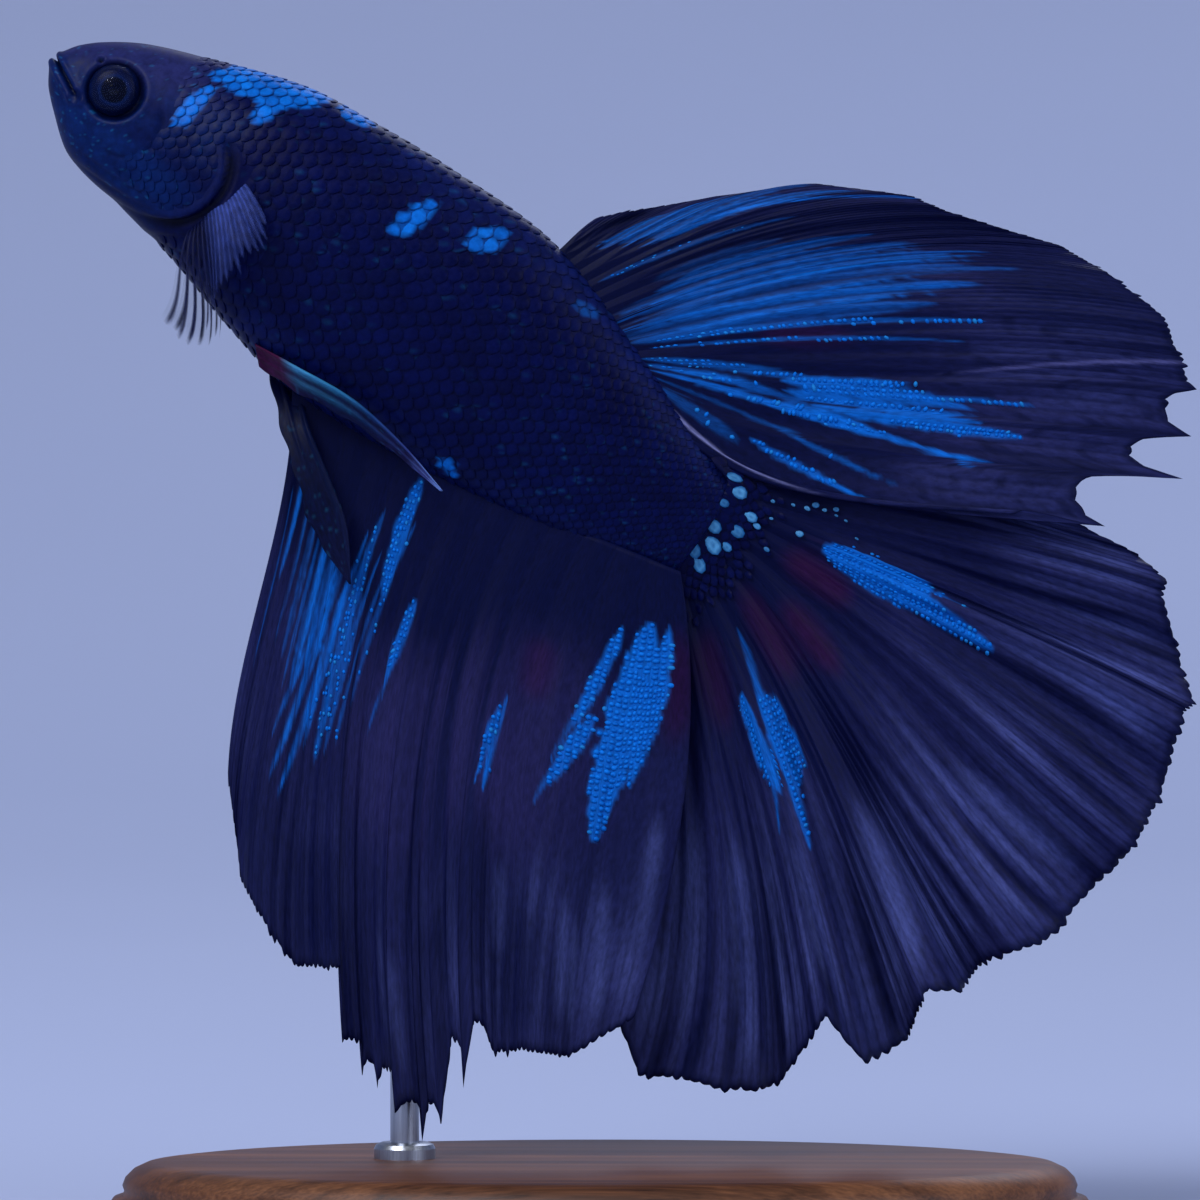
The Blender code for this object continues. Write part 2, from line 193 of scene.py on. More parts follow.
def set_piece(name, shape, material, stands_for=(), matrix=None, sharp=0, tint=None):
    """Put a shape given in millimetres in its place as one piece of the model."""
    bmesh.ops.transform(shape, matrix=matrix or Matrix.Scale(MM, 4), verts=shape.verts[:])
    mesh = to_mesh(name, shape)
    mesh.shade_smooth()
    if sharp:
        mesh.set_sharp_from_angle(angle=math.radians(sharp))
    if tint is not None:
        colours = mesh.color_attributes.new(name="tint", type="FLOAT_COLOR", domain="POINT")
        shades = np.ones((len(tint), 4), np.float32)
        shades[:, :tint.shape[1]] = tint
        colours.data.foreach_set("color", shades.ravel())
    mesh.materials.append(material)
    piece = add_object(name, mesh)
    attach(piece, "root")
    if stands_for:
        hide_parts(*stands_for)


def corners(node):
    """The lowest and the highest corner of a node of the model, in millimetres."""
    return [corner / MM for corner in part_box(node)]


walnut = new_finish("oiled walnut", 0.5, 0.25)
growth = noise_on(walnut, (14, 330, 330), 4.0, 0.55, 0.8)
fibres = noise_on(walnut, (110, 5200, 5200), 5.0, 0.65)
grain = add_node(walnut, "ShaderNodeMix", {0: 0.45, 2: growth, 3: fibres}, data_type="FLOAT")
colour_by(walnut, grain, WALNUT)
relieve(walnut, fibres, 0.25, 0.05, 0.34, 0.55)

base_low, base_high = corners("stand_base")
base_side = [(base_high.x + inset, height) for inset, height in BASE_EDGE]
base_shape = turned([(0.0, 0.0), *base_side, (0.0, BASE_EDGE[-1][1])], BASE_STEPS)
oval = (1.0, base_high.y / base_high.x, 1.0)
bmesh.ops.scale(base_shape, vec=oval, verts=base_shape.verts[:])
set_piece("walnut_base", base_shape, walnut, ["stand_base"], sharp=40)

# ------------------------------------------------------------
# Rod and collar: a straight rod of drawn steel, glued into the base and pushed up into the
# far side of the trunk. The collar is a thin turned ring that hides the hole it stands in.

STEEL = ((0.3, (150, 154, 160)), (0.7, (176, 180, 186)))
ROD_SINK = 2.0
ROD_BEVEL = 0.3
COLLAR_FIT = 0.02

steel = new_finish("drawn steel", 0.30, metallic=1.0)
drawing = noise_on(steel, (9000, 9000, 260), 3.0, 0.6)
colour_by(steel, drawing, STEEL)
relieve(steel, drawing, 0.12, 0.01, 0.22, 0.40)

rod_low, rod_high = corners("stand_rod")
rod_place = (rod_low + rod_high) / 2
rod_radius = (rod_high.x - rod_low.x) / 2
rod_foot = base_high.z - ROD_SINK
rod_profile = (
    (0.0, rod_foot), (rod_radius, rod_foot), (rod_radius, rod_high.z - ROD_BEVEL),
    (rod_radius - ROD_BEVEL, rod_high.z), (0.0, rod_high.z),
)
beside = Matrix.Scale(MM, 4) @ Matrix.Translation((rod_place.x, rod_place.y, 0.0))
set_piece("steel_rod", turned(rod_profile, 48), steel, ["stand_rod"], beside, 40)

collar_low, collar_high = corners("stand_collar")
outer = (collar_high.x - collar_low.x) / 2
bore, foot, top = rod_radius + COLLAR_FIT, base_high.z - COLLAR_FIT, collar_high.z
collar_profile = (
    (bore, foot), (outer, foot), (outer, top - 0.35), (outer - 0.12, top - 0.12),
    (outer - 0.4, top), (bore + 0.1, top), (bore, top - 0.1),
)
collar = turned(collar_profile, 64, closed=True)
set_piece("steel_collar", collar, steel, ["stand_collar"], beside, 25)

# ------------------------------------------------------------
# Skin: one unbroken skin over the head, jaw, gill covers, trunk and tail base. It is nearly
# black, with a blue-green bloom on the cheeks and a dusky back. The lips, nostrils, gill covers
# and folds of the throat are part of its shape, and it lies a scale's depth inside the body.
# Shade is painted into its folds, pits and behind the gill covers, and highlight on its ridges and
# the top of the head.

SIDES = {"left": -1, "right": 1}
HEAD_UP = math.radians(35.9)
EYE_CENTRE = (4.1, 1.75, 0.4)
BODY_LENGTH = 44.8
# Along the body: height of the back and of the belly over the axis, and half the width.
BODY_STATIONS = (
    (0.0, 0.5, -0.8, 1.0), (1.7, 2.2, -2.4, 1.9), (4.0, 3.7, -4.0, 2.7), (8.5, 5.6, -4.7, 3.5),
    (12.5, 6.95, -5.45, 3.9), (16.5, 7.5, -6.5, 4.0), (21.0, 7.9, -7.3, 3.8),
    (28.5, 7.9, -6.8, 3.2), (37.0, 5.4, -5.4, 2.2), (41.0, 3.95, -4.4, 1.6),
    (44.8, 3.1, -3.5, 1.2),
)
WIDEST_HEIGHT = 0.48
SECTION_FULLNESS = 2.15
NOSE_ROUND = 0.9
TAIL_ROUND = 0.5
SKIN_DEPTH = 0.05
COAT_DEPTH = 0.15
SKIN_SIDES = 176
SKIN_RINGS = 300
HEAD_DENSITY = 1.6

GAPE_START = (0.0, 0.05)
GAPE_END = (2.3, -1.05)
NOSTRIL = (2.45, 1.35)
CHEEK = (5.6, -0.6)
GILL_CENTRE = (8.9, -1.0)
GILL_RADIUS = 3.1
GILL_FACING = math.radians(-14)

DEEP = (0, 3, 44)
FLANK = (1, 8, 55)
DUSKY = (15, 26, 76)
# Painted highlight on the top of the head.
HEAD_TOP_HIGHLIGHT = (34, 38, 84)
BLOOM = (5, 34, 86)
BLUE = (2, 86, 168)
BRIGHT = (8, 110, 200)
CYAN = (34, 128, 178)
# Painted shade for the folds, pits and slits of the head.
FOLD_SHADE = (0, 2, 22)

# The blue marks of each flank: from x, z to x, z, half the width, and how bright.
BODY_MARKS = (
    (8.0, 0.8, 8.3, 3.6, 0.5, 1.0), (7.9, 4.3, 8.4, 4.6, 0.42, 1.0),
    (8.5, 4.7, 13.5, 6.9, 1.15, 1.0), (10.4, 4.9, 12.2, 5.6, 0.85, 0.9),
    (11.5, 5.6, 11.4, 3.5, 0.55, 0.95), (14.6, 7.1, 16.4, 7.3, 0.55, 0.9),
    (21.0, 3.0, 21.9, 5.6, 0.62, 1.0), (24.7, 5.1, 26.1, 6.6, 0.75, 0.6),
    (30.3, -5.5, 31.5, -5.8, 0.35, 0.7), (31.4, 5.7, 32.7, 6.1, 0.4, 0.35),
)


def clamped(value):
    """A value held between 0 and 1."""
    return np.clip(value, 0.0, 1.0)


def hermite(start, leaving, end, arriving, share):
    """A smooth path from start to end with the given slopes."""
    s2, s3 = share * share, share ** 3
    leading = start * (2 * s3 - 3 * s2 + 1) + leaving * (s3 - 2 * s2 + share)
    return leading + end * (3 * s2 - 2 * s3) + arriving * (s3 - s2)


def between_rows(table, places):
    """The row before each place, it and the next one's numbers, and the share of the way."""
    at = np.clip(np.searchsorted(table[:, 0], places, side="right") - 1, 0, len(table) - 2)
    before, after = table[at], table[at + 1]
    share = (places - before[:, 0]) / (after[:, 0] - before[:, 0])
    return at, before, after, clamped(share)


def smooth_rows(rows, places):
    """A table read smoothly at each of the places; its first column says where its rows lie."""
    table = np.asarray(rows, float)
    at, before, after, share = between_rows(table, places)
    previous, following = table[np.maximum(at - 1, 0)], table[np.minimum(at + 2, len(table) - 1)]
    span = after[:, :1] - before[:, :1]
    leaving = (after - previous) / (after[:, :1] - previous[:, :1]) * span
    arriving = (following - before) / (following[:, :1] - before[:, :1]) * span
    return hermite(before, leaving, after, arriving, share[:, None])[:, 1:]


BODY_PLACES = np.linspace(0.0, BODY_LENGTH, 449)
BODY_GIRTHS = smooth_rows(BODY_STATIONS, BODY_PLACES)


def girth(x):
    """Height of the back, height of the belly and half the width, x millimetres from the snout."""
    return [np.interp(x, BODY_PLACES, column) for column in BODY_GIRTHS.T]


def rounded(value):
    """Widen a circle's sine or cosine into the body's fuller oval."""
    return np.copysign(np.abs(value) ** (2 / SECTION_FULLNESS), value)


def body_surface(x, angle):
    """Points on the body's outside; the angle runs from the left side over the back."""
    top, bottom, half_width = girth(x)
    nose = 1.0 - clamped(x / NOSE_ROUND)
    tail = 1.0 - clamped((BODY_LENGTH - x) / TAIL_ROUND)
    closing = np.sqrt(1.0 - np.maximum(nose, tail) ** 2)
    middle = bottom + (top - bottom) * WIDEST_HEIGHT
    up = rounded(np.sin(angle))
    reach = np.where(up > 0, top - middle, middle - bottom)
    across = -half_width * rounded(np.cos(angle)) * closing
    return np.stack([x + 0.0 * angle, across, middle + reach * up * closing], -1)


def unit(vectors):
    """Vectors brought to a length of 1."""
    return vectors / np.maximum(np.linalg.norm(vectors, axis=-1, keepdims=True), 1e-9)


def body_outward(x, angle):
    """The direction straight out of the body at each point."""
    step = 0.02
    along = body_surface(x + step, angle) - body_surface(x - step, angle)
    around = body_surface(x, angle + step) - body_surface(x, angle - step)
    return unit(np.cross(along, around))


def ease(value, start, end):
    """0 before start, 1 after end and smooth between them."""
    share = clamped((value - start) / (end - start))
    return share * share * (3 - 2 * share)


def ridge(distance, width):
    """1 on a line and fading to 0 within about twice the width."""
    return np.exp(-((distance / width) ** 2))


def lattice(x, y, seed):
    """Smooth random values from 0 to 1, with a new one at each whole number both ways."""
    cells = np.stack([x, y], -1)
    low = np.floor(cells).astype(np.int64)
    share = ease(cells - low, 0, 1)
    total = 0.0
    for corner in np.ndindex(2, 2):
        weight = np.prod(np.where(np.array(corner) == 1, share, 1 - share), axis=-1)
        value = np.full(cells.shape[:-1], seed * 7919 + 17, np.int64)
        for axis, offset in enumerate(corner):
            value = (value ^ (low[..., axis] + offset)) * 2654435761 % 4294967296
            value = value ^ (value >> 13)
        total = total + weight * (value % 65536) / 65535.0
    return total


def mixed(first, second, share):
    """Two colours mixed; share may be one number for each point."""
    share = clamped(np.asarray(share, float))[..., None]
    return np.asarray(first) * (1 - share) + np.asarray(second) * share


def painted(colour, *coats):
    """A colour with tones painted over it; each coat has its tone and how fully it covers."""
    for tone, share in coats:
        colour = mixed(colour, dye(tone), share)
    return colour


def line_distance(x, z, from_x, from_z, to_x, to_z):
    """How far each point is from a short line, and its share of the way along it."""
    run, rise = to_x - from_x, to_z - from_z
    share = ((x - from_x) * run + (z - from_z) * rise) / (run * run + rise * rise)
    near = clamped(share)
    return np.hypot(x - from_x - near * run, z - from_z - near * rise), share


def gill_reach(x, z):
    """How far each point lies outside the gill cover's edge, and how open the edge is there."""
    away_x, away_z = x - GILL_CENTRE[0], z - GILL_CENTRE[1]
    turn = np.cos(np.arctan2(away_z, away_x) - GILL_FACING)
    return np.hypot(away_x, away_z) - GILL_RADIUS, ease(turn, 0.20, 0.85)


def from_eye(x, z):
    """How far each point is from the middle of the eye."""
    return np.hypot(x - EYE_CENTRE[0], z - EYE_CENTRE[2])


def face_relief(x, z):
    """How far the skin of the head stands out, in millimetres; less than 0 is a fold or a pit."""
    gape, _ = line_distance(x, z, *GAPE_START, *GAPE_END)
    lips = 0.10 * ridge(gape - 0.34, 0.17) - 0.36 * ridge(gape, 0.10)
    lift = ease(x, 2.75, 2.1) * lips
    corner = np.hypot(x - GAPE_END[0] - 0.25, z - GAPE_END[1] + 0.05)
    lift += 0.07 * ridge(corner - 0.45, 0.14) - 0.10 * ridge(corner, 0.25)
    nostril = np.hypot(x - NOSTRIL[0], z - NOSTRIL[1])
    lift += 0.06 * ridge(nostril - 0.26, 0.10) - 0.30 * ridge(nostril, 0.14)
    eye = from_eye(x, z)
    lift += 0.035 * ridge(eye - 1.92, 0.24) - 0.55 * ease(eye, 1.80, 1.36)

    cheek = np.hypot(x - CHEEK[0], z - CHEEK[1])
    behind = ease(x - CHEEK[0] - 0.35 * (z - CHEEK[1]), 0.0, 1.2)
    lift -= 0.09 * ridge(cheek - 2.0, 0.13) * behind * ease(z, 1.6, 0.4)
    reach, free = gill_reach(x, z)
    lift += free * 0.10 * ease(reach, -1.2, -0.25) * ease(reach, 0.12, -0.05)
    lift -= free * 0.28 * ease(reach, -0.05, 0.14) * ease(reach, 0.80, 0.20)
    for fold in (0.0, 0.55, 1.05):
        line = z + 3.55 + fold - 0.10 * (x - 6.0) ** 2 * 0.25
        lift -= 0.05 * ridge(line, 0.11) * ease(x, 4.2, 5.4) * ease(x, 10.4, 9.2)
    shoulder = np.hypot((x - 12.9) / 0.9, (z + 1.8) / 1.7)
    return lift + 0.12 * ridge(shoulder, 0.8)


def scaled_share(x, z):
    """How fully the body is covered in scales: not on the lips, eyes, throat or gill slit."""
    reach, free = gill_reach(x, z)
    slit = free * ease(reach, -0.6, -0.2) * ease(reach, 1.1, 0.6)
    throat = ease(z, -3.2, -3.9) * ease(x, 10.5, 9.5)
    return ease(x, 3.6, 8.2) * ease(from_eye(x, z), 2.1, 3.9) * (1 - slit) * (1 - throat)


def skin_level(x, z):
    """How far the skin lies outside the body's surface, or inside it where less than 0."""
    return face_relief(x, z) - SKIN_DEPTH - (COAT_DEPTH - SKIN_DEPTH) * scaled_share(x, z)


def mark_strength(x, z):
    """How strongly the blue of the marks shows at each point of the flank."""
    ragged = 0.35 * (lattice(x / 0.45, z / 0.45, 5) - 0.5)
    strength = np.zeros(np.shape(x))
    for *line, half_width, power in BODY_MARKS:
        distance, share = line_distance(x, z, *line)
        leaf = 0.35 + 0.65 * np.sqrt(clamped(1 - (2 * share - 1) ** 2))
        inside = ease(distance / (half_width * leaf) + ragged, 1.08, 0.82)
        strength = np.maximum(strength, power * inside)
    return strength


def skin_colour(x, z):
    """The colour of the skin and of its scales, with a painted highlight on the top of the head and
    painted shadow behind the gill covers.
    """
    sizes = enumerate((2.6, 0.9, 0.28, 0.16), 3)
    broad, small, fine, speck = (lattice(x / size, z / size, seed) for seed, size in sizes)
    cloudy = broad * 0.6 + small * 0.4
    top, bottom, _ = girth(x)
    height = (z - bottom) / (top - bottom)
    on_head = ease(x, 12.6, 9.5)
    cheek = on_head * ease(height, 0.85, 0.5) * (0.25 + 0.9 * (cloudy - 0.35)) * (0.7 + 0.6 * fine)
    flecks = ease(speck, 0.83, 0.93) * ease(cloudy, 0.35, 0.6)
    reach, free = gill_reach(x, z)
    return painted(
        dye(DEEP),
        (FLANK, cloudy),
        (DUSKY, ease(height, 0.78, 1.0) * (0.35 + 0.5 * cloudy)),
        # Painted highlight over the upper half of the head.
        (HEAD_TOP_HIGHLIGHT, ease(height, 0.50, 0.85) * ease(x, 10.5, 6.0) * (0.4 + 0.6 * cloudy)),
        (BLOOM, cheek),
        (DUSKY, ease(height, 0.22, 0.02) * ease(x, 13.0, 17.0) * 0.45),
        (CYAN, flecks * (0.08 + 0.14 * on_head)),
        # Painted shadow on the skin just behind the open edge of each gill cover.
        (DEEP, free * ease(reach, -0.25, 0.15) * ease(reach, 1.7, 0.8) * 0.9),
    )


def points_of(shape):
    """The places of a shape's points."""
    return np.array([vertex.co for vertex in shape.verts])


def move_points(shape, places):
    """The shape with its points moved to their places."""
    for vertex, place in zip(shape.verts, places):
        vertex.co = place
    return shape


fish_eyes = [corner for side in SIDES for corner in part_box("eye_" + side)]
eyes_middle = sum(fish_eyes, Vector()) / len(fish_eyes)
head_turn = Matrix.Rotation(HEAD_UP, 4, "Y")
eye_offset = head_turn @ Vector((EYE_CENTRE[0], 0.0, EYE_CENTRE[2])) * MM
fish_pose = Matrix.Translation(eyes_middle - eye_offset) @ head_turn @ Matrix.Scale(MM, 4)

skin = bmesh.new()
bmesh.ops.create_uvsphere(skin, u_segments=SKIN_SIDES, v_segments=SKIN_RINGS, radius=1.0)
ball = points_of(skin)
ring_share = np.arccos(np.clip(ball[:, 2], -1.0, 1.0)) / math.pi
skin_angle = np.arctan2(ball[:, 1], ball[:, 0])
skin_map = skin.loops.layers.uv.new("OFBake")
for face in skin.faces:
    middle_angle = math.atan2(face.calc_center_median().y, face.calc_center_median().x)
    for loop in face.loops:
        at = loop.vert.index
        turn = math.remainder(skin_angle[at] - middle_angle, 2 * math.pi) + middle_angle
        if abs(ball[at, 2]) > 0.99999:
            turn = middle_angle
        loop[skin_map].uv = (0.01 + 0.98 * ring_share[at], 0.5 + 0.48 * turn / math.pi)

skin_x = BODY_LENGTH * ring_share ** HEAD_DENSITY
surface = body_surface(skin_x, skin_angle)
skin_z = surface[:, 2]
faced_out(move_points(skin, surface)).normal_update()
for vertex, lift in zip(skin.verts, skin_level(skin_x, skin_z)):
    vertex.co += vertex.normal * lift

relief = face_relief(skin_x, skin_z)
skin_tint = painted(
    skin_colour(skin_x, skin_z),
    # Painted shade in the folds, pits and slits of the head.
    (FOLD_SHADE, 0.85 * clamped(-relief / 0.2)),
    # Painted highlight on the raised lips, nostril and eye rims and shoulder.
    (DUSKY, 2.5 * np.clip(relief, 0.0, 0.14)),
    (BLUE, 0.6 * mark_strength(skin_x, skin_z)),
)


def tinted(name, roughness, specular, mottle, scale, depth, strength=0.5, **pattern):
    """A finish that takes its colour from the piece's own tint, broken up by fine mottling."""
    material = new_finish(name, roughness, specular)
    cells = noise_on(material, scale, roughness=0.6, **pattern)
    feeds = {
        "Vector": add_node(material, "ShaderNodeAttribute", attribute_name="tint"),
        "Scale": range_on(material, cells, 1.0 - mottle, 1.0 + mottle, 0.3, 0.7),
    }
    colour = add_node(material, "ShaderNodeVectorMath", feeds, operation="SCALE")
    feed_shader(material, Base_Color=colour)
    relieve(material, cells, strength, depth, roughness - 0.06, roughness + 0.08, 0.3, 0.7)
    return material


skin_finish = tinted("betta skin", 0.42, 0.07, 0.25, (2600, 2600, 2600), 0.02)
flesh = ["head", "lower_jaw", "gill_cover_left", "gill_cover_right", "trunk", "tail_base"]
set_piece("skin", skin, skin_finish, flesh, fish_pose, tint=skin_tint)

# ------------------------------------------------------------
# Scales: thin overlapping plates in staggered rows, from behind the eyes to the tail. Each
# grows from under the one in front and its free edge points to the tail; most are almost
# black with a darker rim, and those in the marks are bright blue.

SCALES_AROUND = 36
SCALE_PITCH = 0.66
SCALE_GRID = 4
SCALE_LENGTH = 1.42
SCALE_WIDTH = 1.16
SCALE_ROOT_SINK = -0.10
SCALE_RIM_LIFT = 0.075
SCALE_THICKNESS = 0.05
SCALE_STRAY = 0.07
SCALE_SHARP = 35
LEAST_COVER = 0.4
SCALES_START = 4.3
SCALES_END = 44.3
PATCH_SIZE = 0.0015


def even_angles(x, count, offset):
    """Angles that divide the girth at x into equal lengths, starting at the belly."""
    turns = np.linspace(-math.pi / 2, 1.5 * math.pi, 361)
    ring = body_surface(np.full(turns.shape, x), turns)
    lengths = np.concatenate([[0.0], np.cumsum(np.linalg.norm(np.diff(ring, axis=0), axis=1))])
    wanted = (np.arange(count) + offset) / count * lengths[-1]
    return np.interp(wanted, lengths, turns), lengths[-1]


def sheet(columns, rows, size=0.5):
    """A closed sheet over a square round the origin, with one face at z 0 and the other at 1."""
    shape = bmesh.new()
    bmesh.ops.create_grid(shape, x_segments=columns, y_segments=rows, size=size)
    drawn = bmesh.ops.extrude_face_region(shape, geom=shape.faces[:], use_keep_orig=True)
    raised = [item for item in drawn["geom"] if isinstance(item, bmesh.types.BMVert)]
    bmesh.ops.translate(shape, vec=(0, 0, 1), verts=raised)
    return shape


def scale_plate():
    """One plate's mesh, and where its points lie: forward, sideways, on top and at the rim."""
    plate = faced_out(sheet(SCALE_GRID, SCALE_GRID, 1.0))
    forward, sideways, on_top = points_of(plate).T
    return to_mesh("plate", plate), forward, sideways, on_top, np.maximum(abs(sideways), forward)


def join_plates(template, plates):
    """Copies of a small mesh as one shape; each plate has its points, colours and map place."""
    shape = bmesh.new()
    bake_map = shape.loops.layers.uv.new("OFBake")
    for _, _, (u, v) in plates:
        first = len(shape.faces)
        shape.from_mesh(template)
        shape.faces.ensure_lookup_table()
        for face in shape.faces[first:]:
            for loop in face.loops:
                x, y, z = loop.vert.co
                size = PATCH_SIZE * (0.85 + 0.15 * z)
                loop[bake_map].uv = (u + size * x, v + size * y)
    bpy.data.meshes.remove(template)
    places, tints, _ = zip(*plates)
    return move_points(shape, np.concatenate(places)), np.concatenate(tints)


def lay_scales(name, side):
    """All the scales of one flank."""
    rng = np.random.default_rng(11 + side)
    template, forward, sideways, on_top, rim = scale_plate()
    edge = ease(rim, 0.60, 1.0)
    forward = forward + 0.35 * (1 - forward ** 2)
    outline = np.sqrt(1.0 - 0.88 * clamped(forward) ** 2)
    forward = forward - 0.10 * sideways ** 2 * clamped(forward)
    spread = sideways * outline * (1.0 - 0.25 * clamped(-forward) ** 2)
    tilt = SCALE_ROOT_SINK + (SCALE_RIM_LIFT - SCALE_ROOT_SINK) * ease(forward, -1.0, 0.9)
    tilt = tilt + 0.025 * (1 - sideways ** 2) - 0.015 * clamped(forward) ** 4
    plates = []
    x, row = SCALES_START, 0
    while x < SCALES_END:
        angles, length = even_angles(x, SCALES_AROUND, 0.5 * (row % 2) + 0.25)
        width = length / SCALES_AROUND
        for angle in angles:
            if (math.cos(angle) > 0) != (side < 0):
                continue
            stray = rng.uniform(-SCALE_STRAY, SCALE_STRAY)
            angle = angle + stray * 2 * math.pi / SCALES_AROUND
            root_x = x + rng.uniform(-SCALE_STRAY, SCALE_STRAY) * width
            root, nearby = body_surface(np.full(2, root_x), angle + np.array([0.0, 0.01]))
            if scaled_share(root[0], root[2]) < LEAST_COVER:
                continue
            size = width * (0.97 + 0.06 * rng.random())
            per_turn = 0.01 / max(np.hypot(*(nearby - root)[1:]), 1e-6)
            at_x = root_x + (forward * 0.5 + 0.18) * size * SCALE_LENGTH
            at_x = np.clip(at_x, 0.5, BODY_LENGTH - 0.3)
            at_angle = angle + spread * 0.5 * size * SCALE_WIDTH * per_turn
            place = body_surface(at_x, at_angle)
            at_z = place[:, 2]
            cover = scaled_share(at_x, at_z)
            lift = tilt * min(1.0, size / 0.8) - SCALE_THICKNESS * (1 - on_top)
            lift = lift * ease(cover, LEAST_COVER, 1.0) - 0.08 * ease(cover, 0.95, LEAST_COVER)
            lift = lift + skin_level(at_x, at_z)

            apart = 0.25 + 0.75 * float(ease(root[0], 9.0, 15.0))
            colour = skin_colour(at_x, at_z) * (1.0 + apart * (0.40 * rng.random() - 0.20))
            lit = mixed(dye(BLUE), dye(BRIGHT), rng.random() * 0.8)
            colour = colour * (1.0 - 0.32 * apart * edge)[:, None]
            seam = rng.uniform(0.35, 0.85)
            glow = ease(mark_strength(at_x, at_z), 0.15, 0.75) * (1.0 - seam * edge)
            half_turn = angle / math.pi - (side > 0)
            plates.append((
                place + body_outward(at_x, at_angle) * lift[:, None],
                mixed(colour, lit, glow),
                (0.02 + 0.96 * root[0] / BODY_LENGTH, 0.5 + 0.92 * half_turn),
            ))
        x += SCALE_PITCH * width
        row += 1
    shape, tint = join_plates(template, plates)
    set_piece(name, shape, scale_finish, (), fish_pose, SCALE_SHARP, tint)


scale_finish = tinted("betta scales", 0.38, 0.06, 0.18, (3400, 3400, 3400), 0.012)
for side_name, side in SIDES.items():
    lay_scales("scales_" + side_name, side)

# ------------------------------------------------------------
# Eyes: round and large, each a dark globe with a thin blue ring in the iris, a black lens that
# stands out through the pupil, and a clear cornea over them.

EYE_RADIUS = 1.55
PUPIL_RADIUS = 0.72
IRIS_FRONT = 0.62
IRIS_FLATNESS = 0.45
LENS_FLATNESS = 0.62
LENS_OUT = 0.78
CORNEA_CUT = 0.35
LENS_BLACK = ((0.3, (0, 1, 6)), (0.8, (2, 5, 20)))
CORNEA_BLUE = ((0.3, (8, 20, 60)), (0.8, (12, 28, 76)))
IRIS_TINTS = (
    (0.0, (0, 1, 8)), (0.46, (0, 2, 14)), (0.5, (12, 36, 84)), (0.56, (2, 12, 48)),
    (0.72, (1, 7, 38)), (0.86, (3, 14, 50)), (0.95, (1, 4, 26)), (1.0, (1, 4, 26)),
)


def eye_ball(side, radius, sides, rings):
    """A ball with its pole looking out of the head, still at the origin."""
    shape = bmesh.new()
    turn = Matrix.Rotation(side * -math.pi / 2, 4, "X")
    bmesh.ops.create_uvsphere(shape, u_segments=sides, v_segments=rings, radius=radius, matrix=turn)
    return shape


def banded(place, bands):
    """Colours read along bands; each gives its place, and one tone or several side by side."""
    tones = np.array([sum(map(dye, band[1:]), ()) for band in bands])
    places = [band[0] for band in bands]
    return np.stack([np.interp(place, places, column) for column in tones.T], -1)


def clouded(name, roughness, specular, scale, detail, stops):
    """A plain smooth finish with faint clouds."""
    material = new_finish(name, roughness, specular)
    colour_by(material, noise_on(material, (scale, scale, scale), detail), stops)
    return material


iris_finish = tinted("iris", 0.35, 0.08, 0.22, (9000, 9000, 9000), 0.008)
lens_finish = clouded("lens", 0.08, 0.2, 1200, 2.0, LENS_BLACK)
cornea_finish = clouded("cornea", 0.05, 0.12, 900, 1.0, CORNEA_BLUE)
feed_shader(cornea_finish, Alpha=0.14)

for side_name, side in SIDES.items():
    centre = Vector((EYE_CENTRE[0], side * EYE_CENTRE[1], EYE_CENTRE[2]))

    globe = eye_ball(side, EYE_RADIUS - 0.06, 64, 48)
    ball = points_of(globe)
    share = clamped(np.hypot(ball[:, 0], ball[:, 2]) / EYE_RADIUS)
    rays = lattice(np.arctan2(ball[:, 0], ball[:, 2]) / 0.12, share / 0.12, 9)
    iris_tint = banded(share, IRIS_TINTS) * (0.7 + 0.6 * rays)[:, None]
    front = IRIS_FRONT * EYE_RADIUS
    for vertex in globe.verts:
        if side * vertex.co.y > front:
            vertex.co.y = side * (front + IRIS_FLATNESS * (side * vertex.co.y - front))

    lens = eye_ball(side, PUPIL_RADIUS, 40, 24)
    for vertex in lens.verts:
        vertex.co.y = vertex.co.y * LENS_FLATNESS + side * LENS_OUT

    cornea = eye_ball(side, EYE_RADIUS - 0.01, 56, 36)
    bmesh.ops.bisect_plane(
        cornea, geom=cornea.verts[:] + cornea.edges[:] + cornea.faces[:], dist=0.0001,
        plane_co=(0, side * CORNEA_CUT, 0), plane_no=(0, -side, 0), clear_outer=True,
    )
    bmesh.ops.holes_fill(cornea, edges=cornea.edges[:])

    for shape in (globe, lens, faced_out(cornea)):
        bmesh.ops.translate(shape, vec=centre, verts=shape.verts[:])
    nodes = ["eye_" + side_name]
    set_piece("iris_" + side_name, globe, iris_finish, nodes, fish_pose, tint=iris_tint)
    set_piece("lens_" + side_name, lens, lens_finish, (), fish_pose)
    set_piece("cornea_" + side_name, cornea, cornea_finish, (), fish_pose)

# ------------------------------------------------------------
# Dorsal fin: a tall fan on the rear of the back. Its rays branch again and again to the
# ragged edge, with thin membrane between them, royal-blue bands along its front half and
# brighter beaded marks behind. Membrane and rays are one closed sheet.

BRANCHINGS = ((8, -1.0, 0.20), (4, 0.20, 0.42), (2, 0.42, 0.64), (1, 0.64, 2.0))
BRANCH_EASE = 0.08
BUNCHING = 0.6
BAY_CURVE = 3
CROWDED_RAYS = 0.46
BEAD_PITCH = 0.34
BEAD_HEIGHT = 0.055
FIN_REACH = 28
FIN_SINK = 0.8

DORSAL_BASE = (28.7, 37.2)
